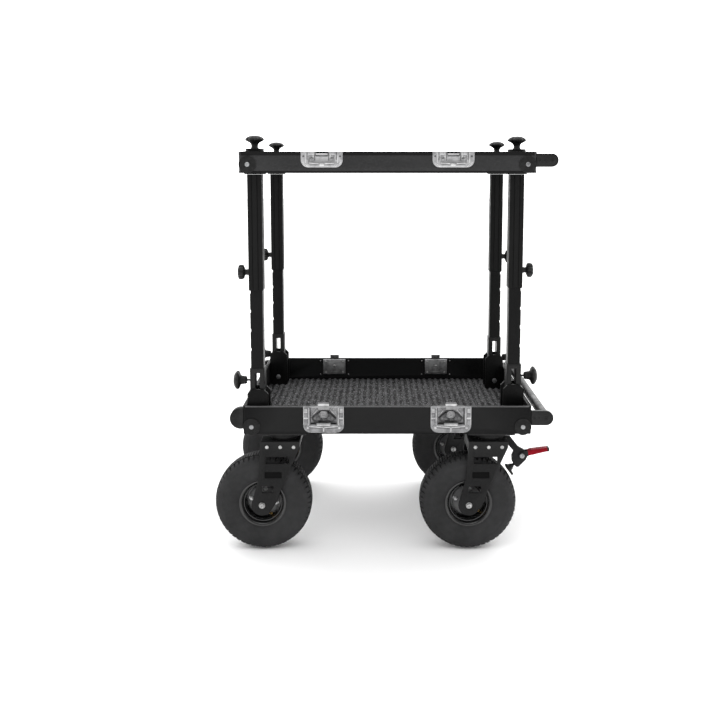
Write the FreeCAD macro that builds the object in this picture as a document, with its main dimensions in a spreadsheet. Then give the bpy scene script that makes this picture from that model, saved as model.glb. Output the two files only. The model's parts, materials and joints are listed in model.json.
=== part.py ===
import FreeCAD, Part
import os
import re

import Sketcher

# A two-shelf equipment cart on four swivel casters, in millimetres, +Z up.
# Origin: on the floor, below the middle of the overall outline. +X points to the handle end.
# Most pieces are built in a local frame of their own and then placed from the sheet.

SIZES = {
    # trays
    "tray_length": 750, "tray_width": 550, "tray_x": 13, "tray_corner": 6,
    "wall": 8, "base": 3, "lower_z": 328, "lower_height": 74,
    "upper_z": 1003.7, "upper_height": 53.8, "carpet": 5, "trim_gap": 0.5,
    # posts and their clevises
    "post_x": 341, "left_post_y": 225, "right_post_y": 177, "pivot_z": 358,
    "foot_top": 136, "inner_top": 425, "post_top": 641.9, "sleeve_bottom": 342,
    "post_size": 38, "inner_size": 33.6, "sleeve_bore": 34.2, "inner_wall": 2.6,
    "post_corner": 4, "pivot_radius": 6, "run_gap": 0.05, "face_gap": 0.3,
    "foot_slot": 13, "slot_low": 24, "slot_top": 123.6,
    "notch_pitch": 50.8, "notch_top": 388.6, "notch_high": 9, "notch_deep": 2.4,
    "pin_head": 4, "pin_head_rim": 2,
    "cheek": 5, "bracket_low": 27, "bracket_top": 81.5, "bracket_out": 26, "bracket_in": 29,
    "bracket_corner": 12, "bracket_base": 4,
    # handles
    "arm_thick": 12, "arm_y": 261, "handle_reach": 39, "handle_radius": 13,
    "lower_handle_z": 369, "lower_arm_radius": 19, "upper_handle_z": 1036, "upper_arm_radius": 17,
    # corner guards
    "disc_x": 353, "disc_radius": 22, "disc_thick": 3, "lower_disc_z": 347, "upper_disc_z": 1025.5,
    "screw_radius": 5, "screw_proud": 1.6,
    "bumper_x": 382.4, "bumper_z": 368.3, "bumper_radius": 27.7, "bumper_thick": 20,
    # latches on the lower walls and keepers on the upper walls
    "latch_x": 165.5, "dish_width": 105.6, "dish_low": 4, "dish_radius": 19, "dish_thick": 2,
    "pan_width": 72, "pan_low": 24, "pan_top": 72, "pan_depth": 16, "pan_skin": 1.5, "fit_gap": 0.1,
    "hook_width": 27.6, "hook_top": 84.2, "hook_low": 66, "hook_thick": 2.4,
    "tab_width": 37, "tab_low": 21, "tab_top": 30.7,
    "boss_radius": 10.5, "boss_proud": 1, "wing_z": 52, "wing_y": 8, "wing_pin": 1.1,
    "wing_half": 31, "wing_neck": 11, "wing_foot": 26, "wing_rise": 4.5, "wing_waist": 13.3, "wing_drop": 21.3,
    "wing_room": 14.2,
    "keeper_low": 14, "keeper_pan_low": 22, "keeper_pan_top": 46, "keeper_pan_width": 68.6,
    "keeper_slot_low": 43, "keeper_slot_width": 32, "keeper_slot_deep": 1.2,
    # shelf sockets and their top knobs
    "socket_size": 52, "socket_top": 55.3, "washer_radius": 23.5, "washer_top": 62.3,
    "flange_radius": 28, "flange_thick": 3,
    # casters
    "caster_x": 273.6, "caster_y": 217, "trail": 57, "axle_z": 130,
    "plate_length": 121, "plate_width": 104, "plate_low": 322, "race_low": 304, "race_mid": 311,
    "race_radius": 44, "race_neck": 37, "kingpin_radius": 8, "kingpin_top": 318,
    "fork_top": 303, "fork_inside": 42, "fork_leg": 6, "head_low": 276, "axle_end_radius": 28,
    "axle_radius": 6, "axle_head_radius": 7, "axle_head": 5,
    "tyre_radius": 130, "tyre_half": 38, "bead_radius": 52,
    "rim_half": 28, "hub_half": 37, "hub_radius": 21, "disc_half": 4,
    "leg_screw_z": 288.5, "window_deep": 2,
    # brake
    "brake_pivot_x": 88, "brake_pivot_z": 251, "brake_arm_half": 6, "brake_bore": 5, "lever_cheek": 3,
    "pivot_proud": 2, "shoe_x": 50, "shoe_z": 212, "plunger_radius": 4, "plunger_length": 30,
    "pad_low": 18, "pad_high": 10, "pad_width": 24, "pad_thick": 6,
    # lock knobs
    "front_lock_z": 101, "rear_lock_z": 69,
}

# Profiles as (radius, height) or (x, z) points. A name in them is one of the sizes.
TOP_KNOB = (
    (0, "face_gap"), (8.75, "face_gap"), (8.75, 14), (20, 17), (24.3, 20), (24.3, 29), (21, 33), (0, 34),
)
SIDE_KNOB = (
    (0, "face_gap"), (8, "face_gap"), (8, 12), (14, 12), (19.5, 15), (19.5, 26), (17, 29.5), (0, 30),
)
FRONT_LOCK_KNOB = (
    (0, "face_gap"), (3, "face_gap"), (3, 10), (10.5, 10), (10.5, 24), (22, 26),
    (25, 29), (25, 42), (22, 45.5), (0, 46),
)
REAR_LOCK_KNOB = (
    (0, "face_gap"), (10.5, "face_gap"), (10.5, 15), (22, 17), (25, 20), (25, 33), (22, 36.5), (0, 37),
)
# The fork's leg and the brake's arm, from the swivel axis and the floor.
FORK_LEG = (
    (-59, "fork_top"), (44, "fork_top"), (44, 288), (23, 241), (-9, 169), (-16, 142),
    (-34, 115), ("-trail", 102), (-78, 112), (-85, 130), (-80, 149), (-66, 202),
)
BRAKE_ARM = (
    (36, "fork_top"), (56, "fork_top"), (78, 275), (94, 266), (104, 250), (98, 238),
    (79, 219), (72, 220), (62, 235), (61, 250), (66, 263), (44, 288), (36, 288),
)
# The windows in a leg as (low x, low z, length, height). The middle one is a shallow pocket.
UPPER_WINDOW = (-46, 243, 62, 19)
MIDDLE_WINDOW = (-49, 204, 45, 17)
LOWER_WINDOW = (-57, 164, 31, 18)
LEG_SCREWS = (-42, -7, 28)
# The brake lever, from its pivot.
LEVER_GRIP = ((16, 0), (73, 13), (72, 23), (22, 16), (14, 12))
LEVER_CHEEK = ((-8, -8), (8, -8), (17, 0), (17, 13), (4, 12), (-8, 6))
LEVER_ROOM = (-16, -20, 34, 40)
# The way from the tyre's tread towards the brake's pivot, which the shoe slides along.
SHOE_AXIS = FreeCAD.Vector(108, 0, 83)

# Name, X side (+1 is the handle end) and Y side (+1 is the rear) of each corner.
CORNERS = (
    ("front_left", -1, -1), ("front_right", 1, -1), ("rear_left", -1, 1), ("rear_right", 1, 1),
)

doc = FreeCAD.newDocument("cart")
origin = FreeCAD.Vector(0, 0, 0)
axes = {"X": FreeCAD.Vector(1, 0, 0), "Y": FreeCAD.Vector(0, 1, 0), "Z": FreeCAD.Vector(0, 0, 1)}
# Rotations that carry a shape built along +Z onto another axis.
along = {
    "X": FreeCAD.Rotation(axes["Y"], 90),
    "Y": FreeCAD.Rotation(axes["X"], -90),
    "Z": FreeCAD.Rotation(),
}
sub_parts = []


def make_sheet():
    """The driving dimensions, one aliased cell each."""
    sheet = doc.addObject("Spreadsheet::Sheet", "Sizes")
    for row, (alias, value) in enumerate(SIZES.items(), start=1):
        sheet.set(f"A{row}", alias)
        sheet.set(f"B{row}", str(value))
        sheet.setAlias(f"B{row}", alias)
    doc.recompute()


def on_sheet(size):
    """A size, or a sum over the names of sizes, as an expression over the sheet's aliases."""
    return re.sub(r"[a-z_]+", lambda word: "Sizes." + word[0] if word[0] in SIZES else word[0], str(size))


def bind(item, field, size):
    item.setExpression(field, on_sheet(size))


def place(item, at, turn=None):
    """Moves item to a bound position, turned by a rotation."""
    item.Placement = FreeCAD.Placement(origin, turn or FreeCAD.Rotation())
    for letter, size in zip("xyz", at):
        bind(item, f"Placement.Base.{letter}", size)
    return item


def box(size, low):
    item = doc.addObject("Part::Box", "Block")
    for field, value in zip(("Length", "Width", "Height"), size):
        bind(item, field, value)
    return place(item, low)


def rod(axis, radius, length, start):
    item = doc.addObject("Part::Cylinder", "Rod")
    bind(item, "Radius", radius)
    bind(item, "Height", length)
    return place(item, start, along[axis])


def fuse(*items):
    joined = doc.addObject("Part::MultiFuse", "Joined")
    joined.Shapes = list(items)
    return joined


def group(*items):
    """Separate solids of one sub-part."""
    joined = doc.addObject("Part::Compound", "Group")
    joined.Links = list(items)
    return joined


def cut(base, *tools):
    left = doc.addObject("Part::Cut", "Cut")
    left.Base = base
    left.Tool = tools[0] if len(tools) == 1 else fuse(*tools)
    return left


def finish(item, name, at=(0, 0, 0), turn=None):
    """Makes item the sub-part called name, at its place in the cart."""
    item.Label = name
    sub_parts.append(place(item, at, turn))


def new_sketch(body, plane, lift=0):
    """A sketch on one of the body's own origin planes, lifted along its normal."""
    sketch = body.newObject("Sketcher::SketchObject", "Sketch")
    planes = {feature.Role: feature for feature in body.Origin.OriginFeatures}
    sketch.AttachmentSupport = [(planes[plane], "")]
    sketch.MapMode = "FlatFace"
    bind(sketch, "AttachmentOffset.Base.z", lift)
    return sketch


def outline(sketch, points):
    """A closed polygon whose corners are held by bound distances from the sketch's origin."""
    count = len(points)
    ends = [FreeCAD.Vector(*value_of(point), 0) for point in points]
    for n in range(count):
        sketch.addGeometry(Part.LineSegment(ends[n], ends[(n + 1) % count]))
    for n in range(count):
        sketch.addConstraint(Sketcher.Constraint("Coincident", n, 2, (n + 1) % count, 1))
    for n, (x, y) in enumerate(points):
        for kind, size, value in (("DistanceX", x, ends[n].x), ("DistanceY", y, ends[n].y)):
            index = sketch.addConstraint(Sketcher.Constraint(kind, -1, 1, n, 1, value))
            bind(sketch, f"Constraints[{index}]", size)
    return sketch


def value_of(sizes):
    """The numbers that sizes have now, as a sketch needs them to start from."""
    sheet = doc.getObject("Sizes")
    return [float(sheet.evalExpression(on_sheet(size))) for size in sizes]


def rectangle(sketch, half_x, low_y, high_y):
    return outline(sketch, (
        (f"-({half_x})", low_y), (half_x, low_y), (half_x, high_y), (f"-({half_x})", high_y),
    ))


def pad(body, sketch, length, midplane=False):
    item = body.newObject("PartDesign::Pad", "Pad")
    item.Profile = sketch
    item.Midplane = midplane
    bind(item, "Length", length)
    return item


def pocket(body, sketch, length, midplane=False, upward=False):
    """Cuts a sketch out of the body and stops if nothing was removed."""
    doc.recompute()
    before = body.Tip.Shape.Volume
    item = body.newObject("PartDesign::Pocket", "Pocket")
    item.Profile = sketch
    item.Midplane = midplane
    item.Reversed = upward
    bind(item, "Length", length)
    doc.recompute()
    if item.Shape.Volume > before - 1:
        raise RuntimeError(f"{body.Label}: a pocket cut nothing")
    return item


def round_edges(body, base, axis, radius):
    """Rounds the straight edges of base that run along one axis."""
    doc.recompute()
    names = []
    for number, edge in enumerate(base.Shape.Edges, start=1):
        straight = isinstance(edge.Curve, Part.Line)
        if straight and abs(edge.tangentAt(edge.FirstParameter).dot(axes[axis])) > 0.999:
            names.append(f"Edge{number}")
    item = body.newObject("PartDesign::Fillet", "Fillet")
    item.Base = (base, names)
    bind(item, "Radius", radius)
    return item


def prism(points, width):
    """A polygon in the XZ plane, padded to both sides of Y = 0."""
    body = doc.addObject("PartDesign::Body", "Prism")
    pad(body, outline(new_sketch(body, "XZ_Plane"), points), width, midplane=True)
    return body


def turned(profile, axis="Z"):
    """A solid of revolution. The profile's points are (radius, height) along the axis."""
    body = doc.addObject("PartDesign::Body", "Turned")
    sketch = outline(new_sketch(body, "XZ_Plane"), profile)
    item = body.newObject("PartDesign::Revolution", "Revolution")
    item.Profile = sketch
    item.ReferenceAxis = (sketch, ["V_Axis"])
    item.Angle = 360
    return place(body, (0, 0, 0), along[axis])


def square_tube(outside, corner, low, high):
    """A square post with rounded corners, solid."""
    body = doc.addObject("PartDesign::Body", "Post")
    sketch = rectangle(new_sketch(body, "XY_Plane", low), f"{outside}/2", f"-{outside}/2", f"{outside}/2")
    base = pad(body, sketch, f"{high}-({low})")
    round_edges(body, base, "Z", corner)
    return body


def post_y(side):
    return "left_post_y" if side < 0 else "right_post_y"


def outward(side):
    """Turns a piece built for the +X side towards its own side."""
    return FreeCAD.Rotation(axes["Z"], 0 if side > 0 else 180)


def tray(name, low, height, pan_width, pan_low, pan_top):
    """A rectangular tray with a window in the long walls for each latch or keeper."""
    body = doc.addObject("PartDesign::Body", "Tray")
    plan = rectangle(new_sketch(body, "XY_Plane"), "tray_length/2", "-tray_width/2", "tray_width/2")
    round_edges(body, pad(body, plan, height), "Z", "tray_corner")
    inside = rectangle(
        new_sketch(body, "XY_Plane", "base"),
        "tray_length/2 - wall", "wall - tray_width/2", "tray_width/2 - wall",
    )
    pocket(body, inside, height, upward=True)
    for side in (-1, 1):
        centre = f"{side}*latch_x"
        half = f"({pan_width}/2 + fit_gap)"
        window = outline(new_sketch(body, "XZ_Plane"), (
            (f"{centre} - {half}", f"{pan_low} - fit_gap"), (f"{centre} + {half}", f"{pan_low} - fit_gap"),
            (f"{centre} + {half}", f"{pan_top} + fit_gap"), (f"{centre} - {half}", f"{pan_top} + fit_gap"),
        ))
        pocket(body, window, "tray_width + 20", midplane=True)
    finish(body, name, ("tray_x", 0, low))


def carpet(name, low, clear_half_x, clear_half_y):
    """The liner on a tray's floor, cut out round the four post fittings."""
    sheet = box(
        ("tray_length - 2*(wall + trim_gap)", "tray_width - 2*(wall + trim_gap)", "carpet"),
        ("wall + trim_gap - tray_length/2", "wall + trim_gap - tray_width/2", 0),
    )
    holes = []
    for _, side, depth in CORNERS:
        holes.append(box(
            (f"2*({clear_half_x} + trim_gap)", f"2*({clear_half_y} + trim_gap)", "3*carpet"),
            (
                f"{side}*post_x - {clear_half_x} - trim_gap",
                f"{depth}*{post_y(side)} - {clear_half_y} - trim_gap", "-carpet",
            ),
        ))
    finish(cut(sheet, *holes), name, ("tray_x", 0, f"{low} + base"))


def post_brackets():
    """Four clevises on the tray floor. Each pair of cheeks carries a pivot pin."""
    clevises = []
    for _, side, depth in CORNERS:
        half = "post_size/2 + face_gap + cheek"
        plates = prism((
            ("-bracket_in", "-bracket_low"), ("bracket_out", "-bracket_low"),
            ("bracket_out", "bracket_top - bracket_corner"), ("bracket_out - bracket_corner", "bracket_top"),
            ("bracket_corner - bracket_in", "bracket_top"), ("-bracket_in", "bracket_top - bracket_corner"),
        ), f"2*({half})")
        room = box(
            ("bracket_in + bracket_out", "post_size + 2*face_gap", "bracket_top + bracket_low"),
            ("-bracket_in - cheek", "-post_size/2 - face_gap", "bracket_base - bracket_low"),
        )
        pin = rod("Y", "pivot_radius", f"2*({half})", (0, f"-({half})", 0))
        clevis = cut(plates, room, pin)
        clevises.append(place(
            clevis, (f"tray_x + {side}*post_x", f"{depth}*{post_y(side)}", "pivot_z"), outward(side),
        ))
    finish(group(*clevises), "post_brackets")


def handle(name, height, arm_radius):
    """Two flat arms with round ends and a round bar between them."""
    reach = "tray_length/2 + handle_reach"
    arms = []
    for depth in (-1, 1):
        start = "-arm_y - arm_thick" if depth < 0 else "arm_y"
        arms.append(box(
            ("handle_reach", "arm_thick", f"2*{arm_radius}"), ("tray_length/2", start, f"-{arm_radius}"),
        ))
        arms.append(rod("Y", arm_radius, "arm_thick", (reach, start, 0)))
    bar = rod("Y", "handle_radius", "2*arm_y", (reach, "-arm_y", 0))
    finish(fuse(bar, *arms), name, ("tray_x", 0, height))


def wall_discs(height):
    """A round boss plate near each end of both long walls."""
    discs = []
    for _, side, depth in CORNERS:
        start = "tray_width/2" if depth > 0 else "-tray_width/2 - disc_thick"
        discs.append(rod("Y", "disc_radius", "disc_thick", (f"{side}*disc_x", start, height)))
    return discs


def corner_guards():
    """The lower tray's discs, and the round bumpers on the end away from the handle."""
    bumpers = []
    for start in ("-arm_y - arm_thick", "arm_y + arm_thick - bumper_thick"):
        whole = rod("Y", "bumper_radius", "bumper_thick", ("-bumper_x", start, "bumper_z"))
        tray_side = box(("4*bumper_radius", "2*bumper_thick", "4*bumper_radius"), (
            "-tray_length/2", f"{start} - bumper_thick/2", "bumper_z - 2*bumper_radius",
        ))
        bumpers.append(cut(whole, tray_side))
    finish(group(*wall_discs("lower_disc_z"), *bumpers), "corner_guards", ("tray_x", 0, 0))


def dish_plate(low, top):
    """A plate in front of the wall with its two lower corners rounded."""
    half = "dish_width/2"
    inset = f"({half} - dish_radius)"
    parts = [
        box(("dish_width", "dish_thick", f"{top} - {low} - dish_radius"), (
            f"-{half}", "-dish_thick", f"{low} + dish_radius",
        )),
        box((f"2*{inset}", "dish_thick", "dish_radius"), (f"-{inset}", "-dish_thick", low)),
    ]
    for side in (-1, 1):
        parts.append(rod("Y", "dish_radius", "dish_thick", (
            f"{side}*{inset}", "-dish_thick", f"{low} + dish_radius",
        )))
    return fuse(*parts)


def on_long_walls(make, low):
    """Four copies of a wall fitting, turned to face outwards, as one compound."""
    items = []
    for _, side, depth in CORNERS:
        turn = FreeCAD.Rotation(axes["Z"], 0 if depth < 0 else 180)
        items.append(place(make(), (f"tray_x + {side}*latch_x", f"{depth}*tray_width/2", low), turn))
    return group(*items)


def recessed_dish(low, top, width, pan_low, pan_top):
    """A dish plate with a box-shaped pan pressed back through the wall's window."""
    pan = box((width, "pan_depth + dish_thick", f"{pan_top} - {pan_low}"), (
        f"-{width}/2", "-dish_thick", pan_low,
    ))
    hollow = box(
        (f"{width} - 2*pan_skin", "pan_depth + dish_thick", f"{pan_top} - {pan_low} - 2*pan_skin"),
        (f"pan_skin - {width}/2", "-dish_thick - pan_skin", f"{pan_low} + pan_skin"),
    )
    return cut(fuse(dish_plate(low, top), pan), hollow)


def latch_dish():
    return recessed_dish("dish_low", "lower_height", "pan_width", "pan_low", "pan_top")


def keeper_dish():
    dish = recessed_dish(
        "keeper_low", "upper_height", "keeper_pan_width", "keeper_pan_low", "keeper_pan_top",
    )
    slot = box(("keeper_slot_width", "dish_thick", "upper_height"), (
        "-keeper_slot_width/2", "keeper_slot_deep - 2*dish_thick", "keeper_slot_low",
    ))
    return cut(dish, slot)


def latch_core():
    """The hook that stands above the rim, the round boss in the pan and the draw tab below it."""
    hook = box(("hook_width", "hook_thick", "hook_top - hook_low"), (
        "-hook_width/2", "-dish_thick - hook_thick", "hook_low",
    ))
    tab = box(("tab_width", "hook_thick", "tab_top - tab_low"), (
        "-tab_width/2", "-dish_thick - hook_thick", "tab_low",
    ))
    boss = rod("Y", "boss_radius", "pan_depth - pan_skin + boss_proud", (0, "-boss_proud", "wing_z"))
    bore = rod("X", "wing_pin + run_gap", "3*boss_radius", ("-1.5*boss_radius", "wing_y", "wing_z"))
    return group(hook, tab, cut(boss, bore))


def latch_wings():
    """The folding grip of each latch: two wings joined below the boss, on a pin through it."""
    for name, side, depth in CORNERS:
        plate = prism((
            ("-wing_neck", "wing_rise"), ("-wing_half", "-wing_waist"), ("-wing_foot", "-wing_drop"),
            ("wing_foot", "-wing_drop"), ("wing_half", "-wing_waist"), ("wing_neck", "wing_rise"),
        ), "hook_thick")
        reach = "(boss_radius + face_gap)"
        room = box((f"2*{reach}", "2*hook_thick", "2*wing_room"), (f"-{reach}", "-hook_thick", "-wing_room"))
        pin = rod("X", "wing_pin", f"2*{reach} + 2", (f"-{reach} - 1", 0, 0))
        turn = FreeCAD.Rotation(axes["Z"], 0 if depth < 0 else 180)
        place_at = (
            f"tray_x + {side}*latch_x", f"{depth}*(tray_width/2 - wing_y)", "lower_z + wing_z",
        )
        finish(fuse(cut(plate, room), pin), f"latch_wings_{name}", place_at, turn)


def disc_screws(height):
    """One screw head proud of each wall disc."""
    screws = []
    for _, side, depth in CORNERS:
        start = "tray_width/2 + disc_thick" if depth > 0 else "-tray_width/2 - disc_thick - screw_proud"
        screws.append(rod("Y", "screw_radius", "screw_proud", (f"tray_x + {side}*disc_x", start, height)))
    return screws


def chassis_fasteners():
    """Disc screws, and the pivot pins with a head outside each clevis."""
    pins = []
    for _, side, depth in CORNERS:
        half = "(post_size/2 + face_gap + cheek)"
        pin = rod("Y", "pivot_radius", f"2*{half}", (0, f"-{half}", 0))
        heads = [
            rod("Y", "pivot_radius + pin_head_rim", "pin_head", (0, f"-{half} - pin_head", 0)),
            rod("Y", "pivot_radius + pin_head_rim", "pin_head", (0, half, 0)),
        ]
        place_at = (f"tray_x + {side}*post_x", f"{depth}*{post_y(side)}", "pivot_z")
        pins.append(place(fuse(pin, *heads), place_at))
    finish(group(*disc_screws("lower_disc_z"), *pins), "chassis_fasteners")


def post_sockets():
    """On each post: a flange under the shelf, a block inside the tray and a washer on top."""
    sockets = []
    for _, side, depth in CORNERS:
        flange = rod("Z", "flange_radius", "flange_thick", (0, 0, "-flange_thick"))
        block = box(("socket_size", "socket_size", "socket_top - base"), (
            "-socket_size/2", "-socket_size/2", "base",
        ))
        washer = rod("Z", "washer_radius", "washer_top - socket_top", (0, 0, "socket_top"))
        at = (f"tray_x + {side}*post_x", f"{depth}*{post_y(side)}", "upper_z")
        sockets.append(place(group(flange, fuse(block, washer)), at))
    finish(group(*sockets), "post_sockets")


def lower_posts():
    """A slotted foot on a round end, with a notched inner tube above it."""
    for name, side, depth in CORNERS:
        foot = fuse(
            box(("post_size", "post_size", "foot_top"), ("-post_size/2", "-post_size/2", 0)),
            rod("Y", "post_size/2", "post_size", (0, "-post_size/2", 0)),
        )
        slot = box(("foot_slot", "2*post_size", "slot_top - slot_low"), (
            "-foot_slot/2", "-post_size", "slot_low",
        ))
        bore = rod("Y", "pivot_radius + run_gap", "2*post_size", (0, "-post_size", 0))
        tube = square_tube("inner_size", "post_corner", "foot_top", "inner_top")
        hollow = square_tube("(inner_size - 2*inner_wall)", "post_corner/2", "foot_top + 1", "inner_top + 5")
        notches = [
            box(("2*notch_deep", "inner_size + 2", "notch_high"), (
                "inner_size/2 - notch_deep", "-inner_size/2 - 1",
                f"notch_top - {n}*notch_pitch - notch_high/2",
            ))
            for n in range(5)
        ]
        post = fuse(cut(foot, slot, bore), cut(tube, hollow, *notches))
        at = (f"tray_x + {side}*post_x", f"{depth}*{post_y(side)}", "pivot_z")
        finish(post, f"lower_post_{name}", at, outward(side))


def upper_posts():
    """The outer tubes that slide over the inner ones."""
    for name, side, depth in CORNERS:
        tube = square_tube("post_size", "post_corner", "sleeve_bottom", "post_top")
        hollow = square_tube("sleeve_bore", "post_corner", "sleeve_bottom - 5", "post_top - 3")
        at = (f"tray_x + {side}*post_x", f"{depth}*{post_y(side)}", "pivot_z")
        finish(cut(tube, hollow), f"upper_post_{name}", at, outward(side))


def knob(profile, name, at, side=0):
    """A turned knob along +Z, or pointing outwards along X when it has a side."""
    turn = FreeCAD.Rotation(axes["Y"], 90 * side)
    finish(turned(profile), name, at, turn)


def side_knobs():
    """The knobs that clamp the outer tubes, on their outward faces."""
    for name, side, depth in CORNERS:
        at = (f"tray_x + {side}*(post_x + post_size/2)", f"{depth}*{post_y(side)}", "pivot_z + notch_top")
        knob(SIDE_KNOB, f"side_knob_{name}", at, side)


def lock_knobs():
    """The knobs that hold a post upright: on the feet in front, on the clevis webs behind."""
    for name, side, depth in CORNERS:
        start = "post_size/2" if depth < 0 else "bracket_out"
        height = "pivot_z + front_lock_z" if depth < 0 else "pivot_z + rear_lock_z"
        at = (f"tray_x + {side}*(post_x + {start})", f"{depth}*{post_y(side)}", height)
        knob(FRONT_LOCK_KNOB if depth < 0 else REAR_LOCK_KNOB, f"lock_knob_{name}", at, side)


def top_knobs():
    """The mushroom knobs that hold the shelf on its posts."""
    for name, side, depth in CORNERS:
        at = (f"tray_x + {side}*post_x", f"{depth}*{post_y(side)}", "upper_z + washer_top")
        knob(TOP_KNOB, f"top_knob_{name}", at)


def caster_place(side, depth):
    return (f"tray_x + {side}*caster_x", f"{depth}*caster_y", 0)


def caster_plates():
    """A top plate and a swivel race for each caster."""
    casters = []
    for _, side, depth in CORNERS:
        plate = box(("plate_length", "plate_width", "lower_z - plate_low"), (
            "-plate_length/2", "-plate_width/2", "plate_low",
        ))
        race = rod("Z", "race_radius", "plate_low - race_mid", (0, 0, "race_mid"))
        neck = rod("Z", "race_neck", "race_mid - race_low", (0, 0, "race_low"))
        bore = rod("Z", "kingpin_radius + run_gap", "kingpin_top + 1 - race_low + 1", (0, 0, "race_low - 1"))
        casters.append(place(cut(fuse(plate, race, neck), bore), caster_place(side, depth)))
    finish(group(*casters), "caster_plates")


def fork_blank():
    """Both legs and the head in one block, before the wheel's room is cut."""
    legs = prism(FORK_LEG, "2*(fork_inside + fork_leg)")
    half = "(fork_inside + fork_leg)"
    eye = rod("Y", "axle_end_radius", f"2*{half}", ("-trail", f"-{half}", "axle_z"))
    kingpin = rod("Z", "kingpin_radius", "kingpin_top - fork_top", (0, 0, "fork_top"))
    return fuse(legs, eye, kingpin)


def window(shape, start, deep):
    """A cut through the legs' thickness, from (low x, low z, length, height)."""
    x, z, length, height = shape
    return box((length, deep, height), (x, start, z))


def leg_openings():
    """The wheel's room between the legs, the windows in them and the axle's bores."""
    half = "(fork_inside + fork_leg)"
    start, across = f"-{half} - 1", f"2*{half} + 2"
    return [
        box(("2*tyre_radius", "2*fork_inside", "head_low"), ("-trail - tyre_radius", "-fork_inside", 0)),
        window(UPPER_WINDOW, start, across),
        window(LOWER_WINDOW, start, across),
        window(MIDDLE_WINDOW, start, "window_deep + 1"),
        window(MIDDLE_WINDOW, f"{half} - window_deep", "window_deep + 1"),
        rod("Y", "axle_radius", across, ("-trail", start, "axle_z")),
    ]


def brake_mount():
    """An arm that slopes down from the fork's head, with bores for the brake's pivot and its plunger."""
    arm = prism(BRAKE_ARM, "2*brake_arm_half")
    pivot = rod("Y", "brake_bore + run_gap", "4*brake_arm_half", (
        "brake_pivot_x", "-2*brake_arm_half", "brake_pivot_z",
    ))
    plunger = rod("Z", "plunger_radius + run_gap", "plunger_length + 1", (0, 0, 0))
    guide = place(group(plunger), ("shoe_x", 0, "shoe_z"), FreeCAD.Rotation(axes["Z"], SHOE_AXIS))
    return arm, pivot, guide


def forks():
    for name, side, depth in CORNERS:
        leg_cuts = leg_openings()
        fork = cut(fork_blank(), *leg_cuts)
        if side > 0:
            arm, *bores = brake_mount()
            fork = cut(fuse(fork, arm), *bores)
        finish(fork, f"fork_{name}", caster_place(side, depth))


def fork_bolts():
    """The axle with its heads, and three cap screws in the top of each leg."""
    for name, side, depth in CORNERS:
        half = "(fork_inside + fork_leg)"
        axle = rod("Y", "axle_radius", f"2*{half}", ("-trail", f"-{half}", "axle_z"))
        heads = []
        for start in (f"-{half} - axle_head", half):
            heads.append(rod("Y", "axle_head_radius", "axle_head", ("-trail", start, "axle_z")))
        screws = []
        for start in (f"-{half} - screw_proud", half):
            for x in LEG_SCREWS:
                screws.append(rod("Y", "screw_radius", "screw_proud", (x, start, "leg_screw_z")))
        finish(group(fuse(axle, *heads), *screws), f"fork_bolts_{name}", caster_place(side, depth))


def both_faces(half_profile):
    """Completes a (radius, +Y half) profile with its mirror image."""
    mirrored = [(radius, f"-({width})") for radius, width in reversed(half_profile)]
    return [*half_profile, *mirrored]


def wheels():
    """A pneumatic tyre, open towards the rim, and a rim with a solid disc and hub."""
    tyre_outside = [
        ("tyre_radius", 22), ("tyre_radius - 2", 30), ("tyre_radius - 7", 36),
        ("tyre_radius - 16", "tyre_half"), (95, "tyre_half"), (76, 35), (62, 30), ("bead_radius", 27),
    ]
    tyre_inside = [("bead_radius", 20), (62, 23), (78, 29), (96, 31), (112, 30), (121, 20)]
    rim_profile = [
        ("axle_radius + run_gap", "hub_half"), ("hub_radius - 3", "hub_half"), ("hub_radius", "hub_half - 3"),
        ("hub_radius", "disc_half"), (44, "disc_half"), (47, "rim_half"), ("bead_radius", "rim_half"),
    ]
    for name, side, depth in CORNERS:
        at = (f"tray_x + {side}*caster_x - trail", f"{depth}*caster_y", "axle_z")
        finish(turned(both_faces([*tyre_outside, *tyre_inside])), f"tyre_{name}", at, along["Y"])
        finish(turned(both_faces(rim_profile)), f"rim_{name}", at, along["Y"])


def brakes():
    """On each handle-end caster: a forked lever on a pivot, and the shoe that it drives."""
    for name, side, depth in CORNERS:
        if side < 0:
            continue
        x, _, _ = caster_place(side, depth)
        inside = "(brake_arm_half + face_gap)"
        width = f"2*({inside} + lever_cheek)"
        low_x, low_z, length, height = LEVER_ROOM
        room = box((length, f"2*{inside}", height), (low_x, f"-{inside}", low_z))
        reach = f"({inside} + lever_cheek + pivot_proud)"
        pivot = rod("Y", "brake_bore", f"2*{reach}", (0, f"-{reach}", 0))
        lever = fuse(cut(fuse(prism(LEVER_GRIP, width), prism(LEVER_CHEEK, width)), room), pivot)
        finish(lever, f"brake_lever_{name}", (f"{x} + brake_pivot_x", f"{depth}*caster_y", "brake_pivot_z"))
        pad = box(("pad_low + pad_high", "pad_width", "pad_thick"), ("-pad_high", "-pad_width/2", 0))
        shoe = fuse(pad, rod("Z", "plunger_radius", "plunger_length", (0, 0, 0)))
        finish(shoe, f"brake_shoe_{name}", (f"{x} + shoe_x", f"{depth}*caster_y", "shoe_z"), FreeCAD.Rotation(
            axes["Z"], SHOE_AXIS,
        ))


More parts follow.
